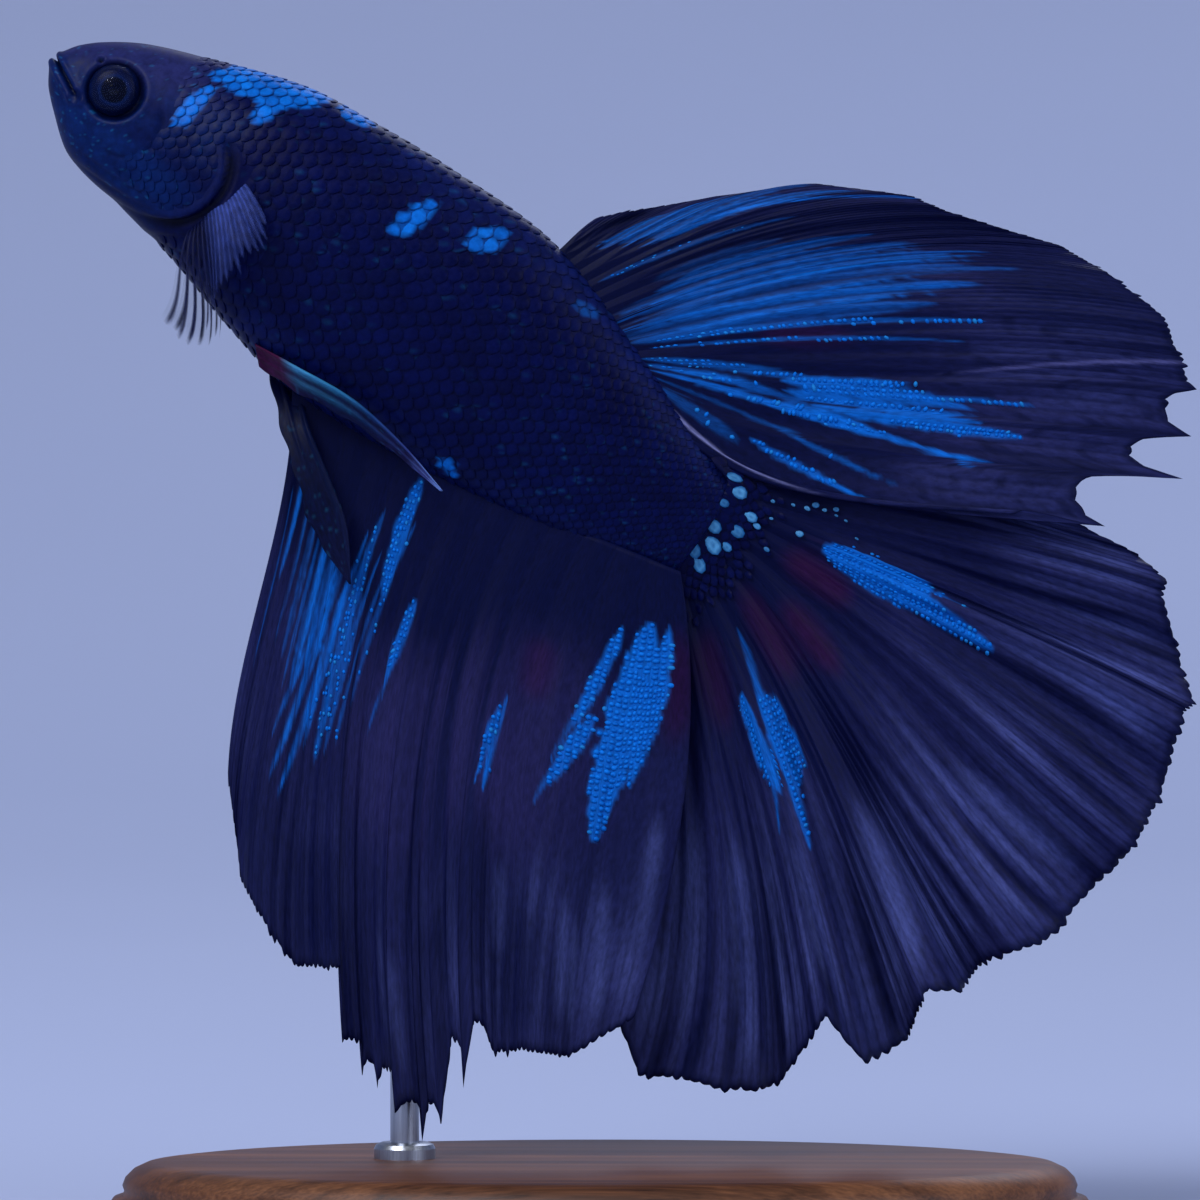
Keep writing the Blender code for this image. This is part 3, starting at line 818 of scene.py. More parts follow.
# Rays: place across the fin, x and z of the tip, and the slopes at the root and the tip.
DORSAL_RAYS = (
    (0.0, 29.5, 10.4, 75, 65), (0.06, 31.2, 12.2, 72, 58), (0.13, 34.1, 15.2, 68, 45),
    (0.2, 38.1, 18.9, 66, 36), (0.28, 42.6, 21.3, 64, 33), (0.36, 45.0, 21.9, 62, 31),
    (0.5, 51.1, 24.1, 60, 28), (0.6, 53.9, 24.3, 58, 26), (0.7, 57.9, 24.1, 48, 26),
    (0.775, 60.1, 22.9, 40, 27), (0.825, 61.7, 22.0, 32, 28), (0.85, 60.8, 20.4, 28, 28),
    (0.875, 63.1, 19.8, 22, 29), (0.9, 60.8, 17.2, 16, 29), (0.925, 64.1, 17.6, 8, 30),
    (0.95, 59.6, 13.6, -4, 31), (0.975, 62.2, 12.9, -20, 31), (1.0, 57.7, 10.6, -34, 32),
)
# Marks: across and along where each starts and ends, its width, brightness and beads.
TEAL = (3, 70, 138)
DORSAL_MARKS = (
    (0.125, 0.26, 0.165, 0.84, 1.8, 1.0, 0.0, TEAL),
    (0.17, 0.26, 0.205, 0.94, 2.1, 1.0, 0.0, TEAL), (0.215, 0.3, 0.25, 0.99, 1.7, 1.0, 0.0, TEAL),
    (0.225, 0.46, 0.295, 1.0, 0.8, 1.0, 0.0), (0.285, 0.06, 0.325, 0.62, 0.4, 0.5, 0.5, TEAL),
    (0.415, 0.16, 0.4, 0.5, 0.9, 0.35, 0.2, TEAL), (0.455, 0.2, 0.437, 0.58, 0.8, 0.5, 0.0, TEAL),
    (0.475, 0.14, 0.45, 0.66, 0.9, 0.75, 0.3, TEAL), (0.52, 0.07, 0.505, 0.72, 1.3, 0.54, 0.0),
    (0.57, 0.05, 0.565, 0.76, 1.4, 0.56, 0.0), (0.62, 0.03, 0.615, 0.78, 1.3, 0.66, 0.0),
    (0.665, 0.03, 0.655, 0.72, 1.3, 0.75, 0.0), (0.7, 0.02, 0.7, 0.58, 1.0, 0.75, 0.1),
    (0.715, 0.05, 0.735, 0.66, 0.3, 0.85, 0.9, TEAL),
    (0.745, 0.05, 0.775, 0.6, 0.25, 0.8, 0.9, TEAL), (0.8, 0.02, 0.85, 0.36, 0.5, 0.85, 1.0, TEAL),
    (0.852, 0.28, 0.868, 0.62, 0.9, 1.0, 0.9), (0.868, 0.28, 0.885, 0.68, 1.2, 1.0, 1.0),
    (0.882, 0.34, 0.898, 0.78, 0.9, 1.0, 1.0), (0.86, 0.44, 0.862, 0.74, 0.25, 0.8, 0.8),
    (0.835, 0.02, 0.912, 0.5, 0.55, 0.95, 0.3), (0.865, 0.03, 0.94, 0.76, 0.55, 1.0, 0.7),
    (0.895, 0.26, 0.93, 0.7, 0.4, 1.0, 0.7), (0.9, 0.02, 0.96, 0.62, 0.35, 0.8, 0.3, TEAL),
    (0.935, 0.04, 0.958, 0.26, 0.8, 0.55, 0.4, TEAL), (0.95, 0.28, 0.975, 0.56, 0.4, 0.95, 0.8),
)
# Stains: across and along where each starts and ends, its width, strength and tone.
DORSAL_STAINS = (
    (0.04, -0.3, 0.08, 1.2, 4.0, 0.95, (1, 5, 36)),
    (0.31, -0.1, 0.42, 1.15, 5.6, 0.95, (2, 7, 42)),
    (0.62, 0.62, 0.65, 1.15, 8.0, 0.8, (5, 11, 48)),
    (0.74, 0.22, 0.76, 0.44, 1.4, 0.45, (40, 8, 46)),
    (0.845, 0.14, 0.86, 0.3, 1.6, 0.7, (3, 9, 44)),
    (0.915, 0.3, 0.955, 0.66, 1.6, 0.7, (3, 9, 44)),
    (0.835, 0.5, 0.77, 1.1, 0.2, 0.7, (84, 84, 132)),
    (0.955, -0.2, 1.0, 0.6, 0.24, 1.5, (104, 106, 146)),
)
DORSAL_DUSK = ((0.0, 0.1), (0.30, 0.1), (0.55, 0.15), (0.72, 0.35), (0.85, 0.65), (1.0, 0.7))

FIN_INNER = (2, 7, 44)
FIN_MIDDLE = (22, 25, 64)
FIN_OUTER = (37, 41, 84)
# Pale streaks, partly standing for a painted highlight on the pleat crests.
FIN_PALE_AND_SHEEN = (74, 82, 138)
FIN_DARK = (4, 8, 40)


def ray_bundle(ray, along, branchings):
    """Where each column lies once its rays run together, and how high it stands there."""
    shift, height = np.zeros(ray.shape), np.zeros(ray.shape)
    for size, start, end in branchings:
        begun = ease(along, start - BRANCH_EASE, start + BRANCH_EASE)
        ended = ease(along, end - BRANCH_EASE, end + BRANCH_EASE)
        share = (ray / size) % 1.0
        height += (begun - ended) * np.abs(np.sin(math.pi * share)) ** 0.8
        if size > 1:
            shift += (begun - ended) * size * np.sin(2 * math.pi * share) / (2 * math.pi)
    return ray + BUNCHING * shift, height


def fin_place(fin, across, along, hollow=0.0):
    """Points in the middle of a fin's sheet; its edge curves inward between two long rays."""
    _, before, after, share = between_rows(np.asarray(fin["rows"], float), across)
    row = before[:, 1:] + (after[:, 1:] - before[:, 1:]) * share[:, None]
    root_x, root_z = fin["root"](across)
    run, rise = row[:, 0] - root_x, row[:, 1] - root_z
    length = np.hypot(run, rise)
    if "bays" in fin:
        start, full, fading, end = fin["bays"]
        from_length = np.hypot(before[:, 1] - root_x, before[:, 2] - root_z)
        to_length = np.hypot(after[:, 1] - root_x, after[:, 2] - root_z)
        towards_long = np.where(to_length > from_length, share, 1.0 - share) ** BAY_CURVE
        shorter = np.minimum(from_length, to_length)
        reached = shorter + np.abs(to_length - from_length) * towards_long
        ragged = ease(across, start, full) * ease(across, end, fading)
        bay = 1.0 + (reached / length - 1.0) * ragged
        run, rise, length = run * bay, rise * bay, length * bay
    reach = along - hollow / length * along ** 6
    leave, arrive = np.radians(row[:, 2]), np.radians(row[:, 3])
    x = hermite(root_x, length * np.cos(leave), root_x + run, length * np.cos(arrive), reach)
    z = hermite(root_z, length * np.sin(leave), root_z + rise, length * np.sin(arrive), reach)
    return np.stack([x, fin["depth"](across, along), z], -1)


def fade_at_ends(across, share=0.08):
    """1 in the middle of a fin and 0 at its first and last ray."""
    return clamped(np.minimum(across, 1.0 - across) / share)


def fold_wave(fin, across, along):
    """The fine pleats of a fin: 1 on a crest towards the left and -1 in a trough."""
    folds = fin["folds"] * across
    drift = 0.35 * np.sin(2 * math.pi * (3.1 * across + 0.6 * along))
    narrow = np.sin(2 * math.pi * (folds + drift))
    broad = np.sin(2 * math.pi * (folds * 0.43 + drift * 1.7))
    return narrow * 0.65 + broad * 0.35


def fin_middle(fin, ray, along):
    """The middle of the sheet with its pleats and ragged edge, and half its thickness there."""
    laid, height = ray_bundle(ray, along, fin.get("branchings", BRANCHINGS))
    across = clamped(laid / fin["rays"])
    rng = np.random.default_rng(fin["seed"])
    notches = fin["notch"] * (0.25 + 1.0 * rng.random(fin["rays"] + 1))
    points = fin["fringe"] * rng.random(fin["rays"] + 1) ** 4
    valley = 1.0 - np.abs(np.sin(math.pi * ray)) ** 0.7
    hollow = valley * notches[np.rint(ray).astype(int)]
    for offset in (-1, 0, 1):
        own = np.clip(np.floor(ray).astype(int) + offset, 0, fin["rays"] - 1)
        hollow = hollow - points[own] * ridge(ray - own - 0.5, 0.42)
    place = fin_place(fin, across, along, hollow)
    pleat = fin["pleat"] * fold_wave(fin, across, along) * ease(along, 0.12, 0.75)
    place[:, 1] += pleat * fade_at_ends(across, 0.03)
    thick = fin["root_thick"] + (fin["edge_thick"] - fin["root_thick"]) * along ** 0.7
    half = thick / 2 + fin["ray_height"] * height * (1.0 - 0.55 * along)
    return place, across, height, half + fin["swell"] * np.exp(-along / 0.05)


def fin_sheet(fin):
    """A fin as one closed sheet, with where each of its points lies by ray, across and along."""
    rays = fin["rays"]
    shape = sheet(rays * 4, fin["steps"])
    bake_map = shape.loops.layers.uv.new("OFBake")
    ray_map = shape.loops.layers.uv.new("rays")
    for face in shape.faces:
        for loop in face.loops:
            x, y, z = loop.vert.co
            spot = (0.5 + 0.98 * x, 0.01 + 0.47 * (y + 0.5) + 0.5 * z)
            if abs(face.normal.x) > 0.5:
                spot = (0.5 + (0.994 + 0.004 * z) * x, 0.5 + 0.98 * y)
            elif abs(face.normal.y) > 0.5:
                spot = (0.5 + 0.98 * x, 0.245 + 0.49 * y + 0.005 * z)
            loop[bake_map].uv = spot
            loop[ray_map].uv = (x + 0.5, y + 0.5)
    grid = points_of(shape)
    ray, along = (grid[:, 0] + 0.5) * rays, grid[:, 1] + 0.5
    place, across, height, half = fin_middle(fin, ray, along)
    place[:, 1] += np.where(grid[:, 2] > 0.5, half, -half)
    return faced_out(move_points(shape, place)), ray, across, along, height


def ray_spacing(fin, across, along):
    """How many millimetres the whole width of a fin would measure at the spacing there."""
    step = 0.004
    inner = np.clip(across, step, 1 - step)
    apart = fin_place(fin, inner + step, along) - fin_place(fin, inner - step, along)
    return np.hypot(apart[:, 0], apart[:, 2]) / (2 * step)


def ray_chance(ray, seed):
    """A random number from 0 to 1 that each ray keeps over its whole length."""
    return np.random.default_rng(seed).random(400)[np.floor(ray).astype(int)]


def stroke_mask(mark, ray, across, along, spacing, seed=None):
    """How fully a stroke covers each point: soft all round, or with a seed, ragged by rays."""
    from_across, from_along, to_across, to_along, width = mark[:5]
    share = (along - from_along) / (to_along - from_along)
    if seed is not None and width > 1.0 and mark[6] < 0.2:
        share = share + (0.5 - ray_chance(ray, seed)) * 0.16
    centre = from_across + (to_across - from_across) * share
    taper = clamped(4 * share * (1 - share)) ** 0.6
    half = width / 2 * taper
    distance = np.abs(across - centre) * spacing
    edge = width * (0.4 + 0.6 * taper)
    if seed is None:
        edge = 0.5 * edge
        ends = ease(share, 0.0, 0.3) * ease(share, 1.0, 0.7)
    else:
        edge = np.minimum(0.25 * edge, 0.16)
        ends = 1.0
        half = half * (1.0 + 0.55 * (lattice(along * 75, across * 9, seed) - 0.5))
    cover = ease(distance, half + edge, half - edge) * ends
    return np.where((share > 0) & (share < 1), cover, 0.0)


def mark_covers(fin, *spots):
    """How fully each of a fin's marks covers each point."""
    for number, mark in enumerate(fin["marks"]):
        yield mark, stroke_mask(mark, *spots, fin["seed"] + 200 + number)


def fin_colours(fin, ray, across, along, height):
    """The colour of each point of a fin."""
    seed = fin["seed"]
    rng = np.random.default_rng(seed + 100)
    streak = 0.35 * lattice(across * 26, along * 3.2, seed)
    for size, share in ((1, 0.35), (2, 0.30)):
        chances = rng.random(fin["rays"] // size + 1 + size)
        streak = streak + share * np.interp(ray / size, np.arange(len(chances)), chances)
    crest = fold_wave(fin, across, along)
    spots = (ray, across, along, ray_spacing(fin, across, along))

    cloud = lattice(across * 7, along * 4, seed + 1)
    start, full = fin["fade"]
    outward = ease(along + 0.25 * (cloud - 0.5), start, full)
    outward = outward * np.interp(across, *zip(*fin["dusk"]))
    # Pale random streaks mixed with a painted highlight on the crests of the pleats.
    crest_sheen_and_streaks = ease(0.6 * streak + 0.4 * (0.5 + 0.5 * crest), 0.42, 0.80)
    # Painted shade in the troughs of the pleats.
    fold_trough_shade = ease(-crest + 0.5 * (0.5 - streak), 0.25, 0.90) * ease(along, start, full)
    hair = ease(height, 0.35, 0.0) * ease(along, 0.35, 0.7) * ease(along, 1.0, 0.96)
    lines = fin.get("lines", 1.0)
    colour = painted(
        dye(FIN_INNER),
        (FIN_MIDDLE, ease(along, *fin["inner"]) * (0.4 + 0.8 * cloud)),
        (FIN_OUTER, outward * (0.35 + 0.65 * streak)),
        (FIN_PALE_AND_SHEEN, crest_sheen_and_streaks * outward * fin["pale"] * ease(along, 1.0, 0.88)),
        # Painted shade in the pleat troughs, then dark lines between the rays.
        (FIN_DARK, 0.8 * lines * fold_trough_shade),
        (FIN_DARK, 0.5 * lines * hair),
        (FIN_DARK, 0.85 * ease(along, 0.975, 0.995)),
    )
    for *mark, power, tone in fin["stains"]:
        colour = painted(colour, (tone, stroke_mask(mark, *spots) * power * (0.35 + 0.8 * cloud)))
    dots = ease(lattice(ray * 0.8, along * 30, seed + 6), 0.70, 0.85) * fin.get("dots", 0.0)
    colour = painted(colour, (FIN_DARK, dots * ease(along, 0.45, 0.6) * ease(across, 0.55, 0.75)))

    fine = lattice(ray * 2.0, along * fin["steps"] * 0.9, seed + 2)
    speckle = 1.0 - 0.45 * ease(fine, 0.45, 0.85)
    lined = 0.10 + 0.90 * ease(height, 0.08, 0.70)
    streaky = 0.45 + 0.75 * ray_chance(ray, seed + 7)
    bunched = 0.62 + 0.70 * lattice(ray / 3.0, along * 2.2, seed + 4)
    for mark, cover in mark_covers(fin, *spots):
        power, beaded = mark[5:7]
        tone = mark[7] if len(mark) > 7 else BLUE
        plain = clamped(cover * bunched * (0.22 + 0.78 * speckle * lined * streaky))
        strength = power * (plain * (1 - beaded) + 0.85 * cover * beaded)
        shine = (0.25 + 0.75 * fine) * streaky * power ** 3 * (0.6 if tone == BLUE else 0.3)
        lit = painted(dye(tone), (BRIGHT, shine), (TEAL, (1 - beaded) * (1 - cover) ** 0.7))
        colour = colour * (1 - strength[:, None]) + lit * strength[:, None]
    return colour


def ray_under(fin, across, along):
    """Which ray, bunched as it is, runs under each place on a fin."""
    wanted = across * fin["rays"]
    ray = wanted
    for _ in range(12):
        ray = np.clip(wanted - ray_bundle(ray, along, BRANCHINGS)[0] + ray, 0, fin["rays"] - 0.01)
    return ray


def lay_beads(name, fin):
    """Small raised plates that fill the brightest marks, in rows along the rays of both faces."""
    rng = np.random.default_rng(fin["seed"] + 300)
    rays, steps = fin["rays"], int(FIN_REACH / BEAD_PITCH)
    across = (np.repeat(np.arange(2 * rays), steps) * 0.5 + 0.25) / rays
    along = np.tile((np.arange(steps) + 0.5) / steps, 2 * rays)
    along = along + rng.uniform(-0.2, 0.2, len(along)) / steps
    spacing = ray_spacing(fin, across, along)
    crowded = spacing / rays < CROWDED_RAYS
    kept = ~crowded | (np.arange(len(across)) // steps % 2 == 0)
    across, along, spacing, crowded = (item[kept] for item in (across, along, spacing, crowded))
    across = across + (crowded * 0.25 + rng.uniform(-0.05, 0.05, len(across))) / rays
    ray = ray_under(fin, across, along)
    place, _, _, half = fin_middle(fin, ray, along)
    chance = np.zeros(len(ray))
    for mark, cover in mark_covers(fin, ray, across, along, spacing):
        chance = np.maximum(chance, cover * mark[6] * mark[5])
    chosen = np.flatnonzero(chance > rng.uniform(0.1, 0.75, len(ray)))
    spots = (ray, along, place, half, chance, spacing / rays * np.where(crowded, 1.0, 0.5))
    ray, along, place, half, chance, gap = (item[chosen] for item in spots)
    beside = unit(fin_middle(fin, np.clip(ray + 0.25, 0, rays - 0.01), along)[0] - place)
    onward = unit(fin_middle(fin, ray, clamped(along + 0.004))[0] - place)
    outward = np.cross(beside, onward)
    outward = outward * np.sign(outward[:, 1:2])

    bead = bmesh.new()
    bmesh.ops.create_icosphere(bead, subdivisions=1, radius=1.0)
    ball = points_of(bead)
    beads = []
    for at in range(len(ray)):
        wide = gap[at] * rng.uniform(0.42, 0.60)
        long = BEAD_PITCH * rng.uniform(0.32, 0.50)
        tone = mixed(dye(BLUE), dye(BRIGHT), 0.2 + 0.8 * rng.random())
        if rng.random() < 0.05 + 0.7 * (0.9 - chance[at]):
            tone = painted(tone, (CYAN, rng.uniform(0.2, 0.7)))
        axes = np.array([wide * beside[at], long * onward[at], BEAD_HEIGHT * outward[at]])
        for side in (-1, 1):
            middle = place[at] + side * outward[at] * (half[at] + 0.01)
            row = 0.01 + 0.47 * along[at] + 0.5 * (side > 0)
            spot = (0.01 + 0.98 * ray[at] / rays, row)
            beads.append((middle + ball @ axes, np.tile(tone, (len(ball), 1)), spot))
    shape, tint = join_plates(to_mesh("bead", bead), beads)
    set_piece(name, faced_out(shape), bead_finish, (), fish_pose, tint=tint)


def fin_finish(name, rays, length):
    """Fin membrane: the tint, with the joints of the rays as fine rungs along them."""
    scale = (rays * 2.6, length * 1.5, 1.0)
    return tinted(name, 0.48, 0.07, 0.28, scale, 0.02, 0.30, detail=2.0, uv_map="rays")


def make_fin(name, fin, length):
    """Shape, colour and place one fin with its beads."""
    shape, *spots = fin_sheet(fin)
    finish = fin_finish(name + " rays membrane", fin["rays"], length)
    tint = fin_colours(fin, *spots)
    set_piece(name + "_rays", shape, finish, [name + "_fin"], fish_pose, tint=tint)
    lay_beads(name + "_beads", fin)


def rooted(base, column, sink):
    """How a fin's root runs along the back or the belly, a little inside it."""

    def root(across):
        x = base[0] + (base[1] - base[0]) * across
        return x, girth(x)[column] - sink

    return root


def broad_waves(across, along, height, count, power):
    """The broad waves that a fin hangs in, higher towards its edge and none at its ends."""
    wave = height * np.sin(across * count * math.pi) * along ** power
    return wave * fade_at_ends(across)


def dorsal_depth(across, along):
    """How far the dorsal fin lies to the right, with its waves."""
    return broad_waves(across, along, 0.8, 5, 1.5) - 1.3 * across ** 2 * along ** 0.7


bead_finish = tinted("blue beads", 0.45, 0.06, 0.12, (6000, 6000, 6000), 0.004)
# Sizes are in millimetres. "bays" says where across the fin its edge curves in between long
# rays, and "inner" and "fade" where along the rays the paler tones come in; "pale", "dots" and
# "lines" are how strongly the pale streaks with their painted highlight on the pleat crests,
# the dark dots, and the painted shade in the pleat troughs with dark lines between rays show.
dorsal = {
    "root": rooted(DORSAL_BASE, 0, FIN_SINK), "rows": DORSAL_RAYS, "depth": dorsal_depth,
    "rays": 96, "steps": 92, "bays": (0.70, 0.80, 1.0, 1.1), "fringe": 0.35, "notch": 0.14,
    "pleat": 0.10, "folds": 21, "root_thick": 0.55, "edge_thick": 0.14, "ray_height": 0.09,
    "swell": 0.2, "seed": 21, "inner": (0.25, 0.85), "fade": (0.45, 0.95), "pale": 0.22,
    "dots": 0.6, "stains": DORSAL_STAINS, "marks": DORSAL_MARKS, "dusk": DORSAL_DUSK,
}
make_fin("dorsal", dorsal, 26)

# ------------------------------------------------------------
# Tail fin: a broad, pleated rosetail fan on the end of the tail, whose rays branch into more
# than a hundred points. Pale streaks, partly a painted highlight, lie on the crests of its
# pleats, and painted shade lies in the troughs between.

CAUDAL_ROOT = (43.7, 3.3)
CAUDAL_RAYS = (
    (0.0, 60.6, 12.2, 52, 26), (0.04, 64.3, 12.8, 38, 20), (0.08, 66.6, 12.6, 26, 17),
    (0.11, 67.0, 11.6, 20, 15), (0.2, 71.8, 8.0, 14, 9), (0.24, 71.6, 7.1, 12, 7),
    (0.31, 73.4, 2.9, 8, 2), (0.4, 73.6, -1.8, 3, -4), (0.48, 72.8, -7.4, -4, -12),
    (0.53, 70.9, -10.0, -8, -18), (0.6, 70.7, -12.3, -13, -25), (0.63, 69.0, -13.6, -16, -29),
    (0.7, 70.0, -16.3, -21, -36), (0.74, 68.6, -18.7, -25, -42), (0.77, 65.4, -17.9, -28, -45),
    (0.84, 65.7, -22.4, -34, -53), (0.87, 64.8, -23.5, -38, -58), (0.92, 61.9, -24.9, -43, -66),
    (0.98, 59.0, -26.6, -56, -73), (1.0, 56.2, -24.6, -64, -72),
)
CAUDAL_MARKS = (
    (0.252, 0.225, 0.276, 0.6, 1.2, 1.0, 1.0), (0.248, 0.22, 0.258, 0.46, 1.95, 1.0, 1.0),
    (0.705, 0.175, 0.784, 0.6, 0.55, 1.0, 0.1), (0.778, 0.31, 0.762, 0.52, 1.3, 0.95, 1.0),
    (0.728, 0.3, 0.728, 0.49, 1.6, 0.95, 1.0), (0.735, 0.36, 0.739, 0.6, 0.65, 1.0, 0.8),
)
WINE = (42, 5, 44)
NAVY = (4, 9, 44)
SATIN = (66, 74, 126)
CAUDAL_STAINS = (
    (0.345, 0.13, 0.35, 0.33, 1.7, 0.8, WINE), (0.48, 0.18, 0.49, 0.4, 1.4, 0.9, WINE),
    (0.585, 0.1, 0.615, 0.37, 1.3, 0.7, WINE), (0.845, 0.12, 0.845, 0.36, 1.7, 0.6, WINE),
    (0.16, 0.22, 0.14, 0.7, 3.0, 0.7, NAVY), (0.3, 0.4, 0.32, 0.74, 3.4, 0.5, NAVY),
    (0.6, 0.28, 0.6, 0.62, 3.2, 0.5, NAVY), (0.44, 0.62, 0.42, 0.98, 1.2, 0.6, SATIN),
    (0.61, 0.56, 0.62, 0.96, 1.0, 0.7, SATIN), (0.66, 0.6, 0.665, 0.98, 0.7, 0.6, SATIN),
    (0.76, 0.58, 0.765, 0.94, 1.0, 0.6, SATIN), (0.82, 0.55, 0.83, 0.92, 0.8, 0.55, SATIN),
    (0.88, 0.5, 0.89, 0.9, 1.2, 0.6, SATIN), (0.95, 0.45, 0.955, 0.92, 0.9, 0.5, SATIN),
)


def round_tail(across):
    """Where the tail fin leaves the end of the tail."""
    bulge = 0.6 * np.sin(math.pi * across) - 1.4 * ease(across, 0.08, 0.0)
    return CAUDAL_ROOT[0] + bulge, CAUDAL_ROOT[1] * (1.0 - 2.0 * across)


def caudal_depth(across, along):
    """How far the tail fin lies to the right, with its waves, which two flat places break."""
    flat = 1 - 0.8 * np.maximum(ridge(across - 0.09, 0.05), ridge(across - 0.22, 0.04))
    return broad_waves(across, along, 1.5, 15, 1.6) * flat + 0.5 * across + 0.5 * along


caudal = {
    "root": round_tail, "rows": CAUDAL_RAYS, "depth": caudal_depth, "rays": 112, "steps": 88,
    "fringe": 0.30, "notch": 0.16, "pleat": 0.20, "folds": 34, "root_thick": 0.5,
    "edge_thick": 0.13, "ray_height": 0.09, "swell": 0.8, "seed": 31, "inner": (0.12, 0.50),
    "fade": (0.42, 0.86), "pale": 0.75, "stains": CAUDAL_STAINS, "marks": CAUDAL_MARKS,
    "dusk": ((0.0, 0.55), (0.2, 1.0), (1.0, 1.0)),
}
make_fin("caudal", caudal, 28)

# The scales run on over the root of the tail fin; a few on the left are cyan, as x, z, size.
TAIL_ROWS = 8
TAIL_COLUMNS = 15
CYAN_DEEP = (12, 70, 118)
CYAN_PALE = (80, 146, 186)
CYAN_SCALES = (
    (44.0, 3.1, 1.2), (44.7, 2.7, 1.2), (46.0, 2.0, 1.0), (44.6, 0.35, 1.2), (45.1, -0.5, 1.4),
    (45.8, 0.85, 1.1), (46.7, 1.8, 0.6), (46.0, -0.15, 0.8), (45.2, -1.8, 1.2), (45.1, -4.0, 0.9),
    (48.3, 4.2, 0.5), (48.6, 4.6, 0.6), (49.2, 4.7, 0.4), (49.7, 5.1, 0.5), (49.9, 4.8, 0.3),
    (50.5, 4.9, 0.3), (47.6, 3.9, 0.35), (48.8, 2.8, 0.6), (47.9, 1.0, 0.45), (44.2, -1.2, 1.2),
    (43.9, 1.6, 0.8), (46.6, 3.4, 0.4), (47.1, 2.6, 0.3), (51.6, 4.5, 0.3),
)


def tail_scale_spots(rng):
    """Across, along, size, side and glow: rows on both faces, then the cyan ones on the left."""
    spots = []
    for row in range(TAIL_ROWS):
        for column in range(TAIL_COLUMNS):
            across = (column + 0.25 + 0.5 * (row % 2)) / TAIL_COLUMNS
            for side in (-1, 1):
                if rng.random() < 1.35 - 0.11 * row:
                    spots.append((across, 0.006 + 0.016 * row, 0.62 * (1.0 - 0.07 * row), side, 0.0))
    grid = np.meshgrid(np.linspace(0.01, 0.99, 120), np.linspace(0, 0.3, 90))
    across, along = (item.ravel() for item in grid)
    place = fin_place(caudal, across, along)
    for x, z, size in CYAN_SCALES:
        near = np.argmin(np.hypot(place[:, 0] - x, place[:, 2] - z))
        spots.append((across[near], max(0.0, along[near] - 0.01), 0.50 * size, -1, 1.0))
    return spots


def lay_tail_scales():
    """The plates on both faces of the root of the tail fin."""
    rng = np.random.default_rng(77)
    template, forward, sideways, on_top, rim = scale_plate()
    outline = np.sqrt(clamped(1.0 - 0.93 * clamped(forward) ** 2.2))
    oval = np.sqrt(clamped(1.0 - 0.85 * forward ** 2))
    edge = ease(rim, 0.60, 1.0)
    ring = (0.45 + 0.55 * ease(np.maximum(rim, -forward), 0.0, 0.5)) * (1 - edge)
    tilt = -0.06 + 0.13 * ease(forward, -1.0, 0.9) + 0.03 * (1 - sideways ** 2)
    half = caudal["root_thick"] / 2 + caudal["ray_height"]
    plates = []
    for across, along, size, side, glow in tail_scale_spots(rng):
        spacing = ray_spacing(caudal, np.array([across]), np.array([along]))[0]
        at_across = across + sideways * (oval if glow else outline) * 0.55 * size / spacing
        at_along = clamped(along + (forward * 0.75 + 0.5) * size / FIN_REACH)
        place = fin_place(caudal, np.clip(at_across, 0.001, 0.999), at_along)
        outside = half + caudal["swell"] * np.exp(-at_along / 0.05)
        place[:, 1] += side * (outside + tilt + 0.10 * glow - 0.05 * (1 - on_top))
        base = mixed(dye(DEEP), dye(FLANK), rng.random()) * (1.0 - 0.4 * edge)[:, None]
        lit = mixed(dye(CYAN_DEEP), dye(CYAN_PALE), (0.3 + 0.7 * rng.random()) * ring)
        row = 0.02 + 0.94 * along + 0.5 * (side > 0)
        tint = mixed(base, lit, np.full(len(rim), glow * 0.95))
        plates.append((place, tint, (0.02 + 0.96 * across, row)))
    shape, tint = join_plates(template, plates)
    faced_out(shape)
    set_piece("tail_scales", shape, scale_finish, (), fish_pose, SCALE_SHARP, tint)


lay_tail_scales()

# ------------------------------------------------------------
# Anal fin: the long fan under the belly and tail, drawn out into ragged points. Its front is
# streaked with blue, and beaded blue marks stand alone in the middle of it.

ANAL_BASE = (20.9, 44.6)
ANAL_RAYS = (
    (0.0, 31.0, -26.4, -50, -56), (0.08, 35.0, -30.7, -56, -54), (0.14, 37.0, -31.6, -62, -53),
    (0.21, 40.2, -32.8, -68, -52), (0.31, 42.2, -31.3, -74, -51), (0.34, 44.6, -34.5, -76, -50),
    (0.375, 45.4, -34.0, -78, -50), (0.4, 46.8, -35.7, -79, -49), (0.415, 46.5, -34.7, -79, -49),
    (0.43, 47.7, -35.5, -80, -49), (0.455, 47.5, -34.3, -80, -49), (0.5, 49.4, -36.1, -82, -49),
    (0.53, 49.8, -35.0, -82, -49), (0.56, 51.5, -36.5, -83, -49), (0.58, 50.6, -34.6, -83, -49),
    (0.6, 51.9, -35.3, -84, -49), (0.65, 49.4, -30.9, -85, -50), (0.69, 51.5, -32.6, -85, -50),
    (0.71, 49.9, -29.4, -85, -51), (0.76, 51.8, -30.2, -84, -52), (0.83, 53.0, -29.1, -80, -55),
    (0.93, 55.3, -27.9, -64, -62), (1.0, 56.9, -24.1, -44, -72),
)
